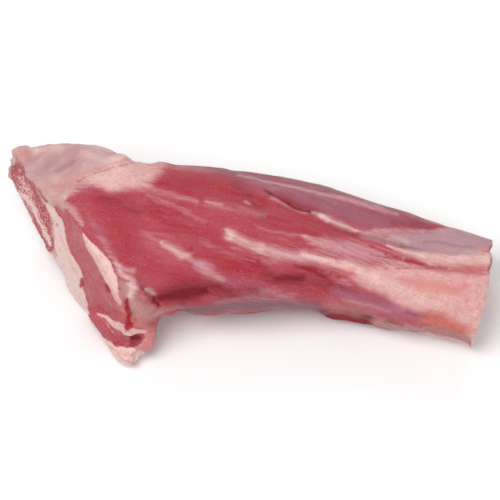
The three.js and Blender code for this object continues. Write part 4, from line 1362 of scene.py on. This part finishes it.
def area_light(name, place, size, power):
    data = bpy.data.lights.new(name, "AREA")
    data.shape = "DISK"
    data.size = size
    data.energy = power
    light = bpy.data.objects.new(name, data)
    light.location = place
    light.rotation_euler = (Vector(LIGHT_TARGET) - Vector(place)).to_track_quat("-Z", "Y").to_euler()
    bpy.context.scene.collection.objects.link(light)


class SHANK_OT_stage(bpy.types.Operator):
    """Lays the pale floor and sets the soft light and the camera"""
    bl_idname = "shank.stage"
    bl_label = "Stage"

    def execute(self, context):
        scene = context.scene
        mesh = bpy.data.meshes.new("floor")
        mesh.from_pydata(FLOOR_CORNERS, [], [(0, 1, 2, 3)])
        floor = bpy.data.objects.new("floor", mesh)
        scene.collection.objects.link(floor)
        material = bpy.data.materials.new("pale_floor")
        material.use_nodes = True
        wires = Wiring(material.node_tree)
        shader = material.node_tree.nodes["Principled BSDF"]
        place = wires.place()
        cloud = wires.ramp(wires.noise(place, 3.0, 2.0), 0.3, 0.7)
        wires.feed(shader, "Base Color", wires.mix(cloud, (0.91, 0.91, 0.91, 1), (0.93, 0.93, 0.93, 1)))
        wires.feed(shader, "Roughness", 0.8)
        mesh.materials.append(material)
        world = bpy.data.worlds.new("soft_room")
        world.use_nodes = True
        room = world.node_tree.nodes["Background"].inputs
        room["Color"].default_value = (1, 1, 1, 1)
        room["Strength"].default_value = ROOM_STRENGTH
        scene.world = world
        for light in LIGHTS:
            area_light(*light)
        distance = scene.shank_sizes.camera_distance
        middle = Vector((PICTURE_MIDDLE + LEG_TO_FRAME) * MM)
        data = bpy.data.cameras.new("camera")
        data.sensor_width = SENSOR_WIDTH
        data.lens = SENSOR_WIDTH * distance / (PICTURE_WIDTH * MM)
        data.clip_end = 20
        camera = bpy.data.objects.new("camera", data)
        camera.location = middle + distance * Vector(picture_axes()[0])
        camera.rotation_euler = (middle - camera.location).to_track_quat("-Z", "Y").to_euler()
        scene.collection.objects.link(camera)
        scene.camera = camera
        scene.view_settings.view_transform = "Standard"
        scene.view_settings.look = "None"
        return {"FINISHED"}


class SHANK_PT_panel(bpy.types.Panel):
    """Lists what the shank is made of"""
    bl_idname = "SHANK_PT_panel"
    bl_label = "Raw lamb shank"
    bl_space_type = "VIEW_3D"
    bl_region_type = "UI"
    bl_category = "Shank"

    def draw(self, context):
        for operator in OPERATORS:
            self.layout.operator(operator.bl_idname)
        for group in (context.scene.shank_sizes, context.scene.shank_colours):
            column = self.layout.column()
            for key in group.__annotations__:
                column.prop(group, key)


OPERATORS = (SHANK_OT_stage, SHANK_OT_flesh, SHANK_OT_bone)
CLASSES = (ShankSizes, ShankColours, *OPERATORS, SHANK_PT_panel)


def register():
    for cls in CLASSES:
        bpy.utils.register_class(cls)
    bpy.types.Scene.shank_sizes = PointerProperty(type=ShankSizes)
    bpy.types.Scene.shank_colours = PointerProperty(type=ShankColours)


def unregister():
    del bpy.types.Scene.shank_colours
    del bpy.types.Scene.shank_sizes
    for cls in reversed(CLASSES):
        bpy.utils.unregister_class(cls)


def main():
    """Builds the stage, the flesh and the bone."""
    register()
    bpy.ops.shank.stage()
    bpy.ops.shank.flesh()
    bpy.ops.shank.bone()


if __name__ == "__main__":
    main()
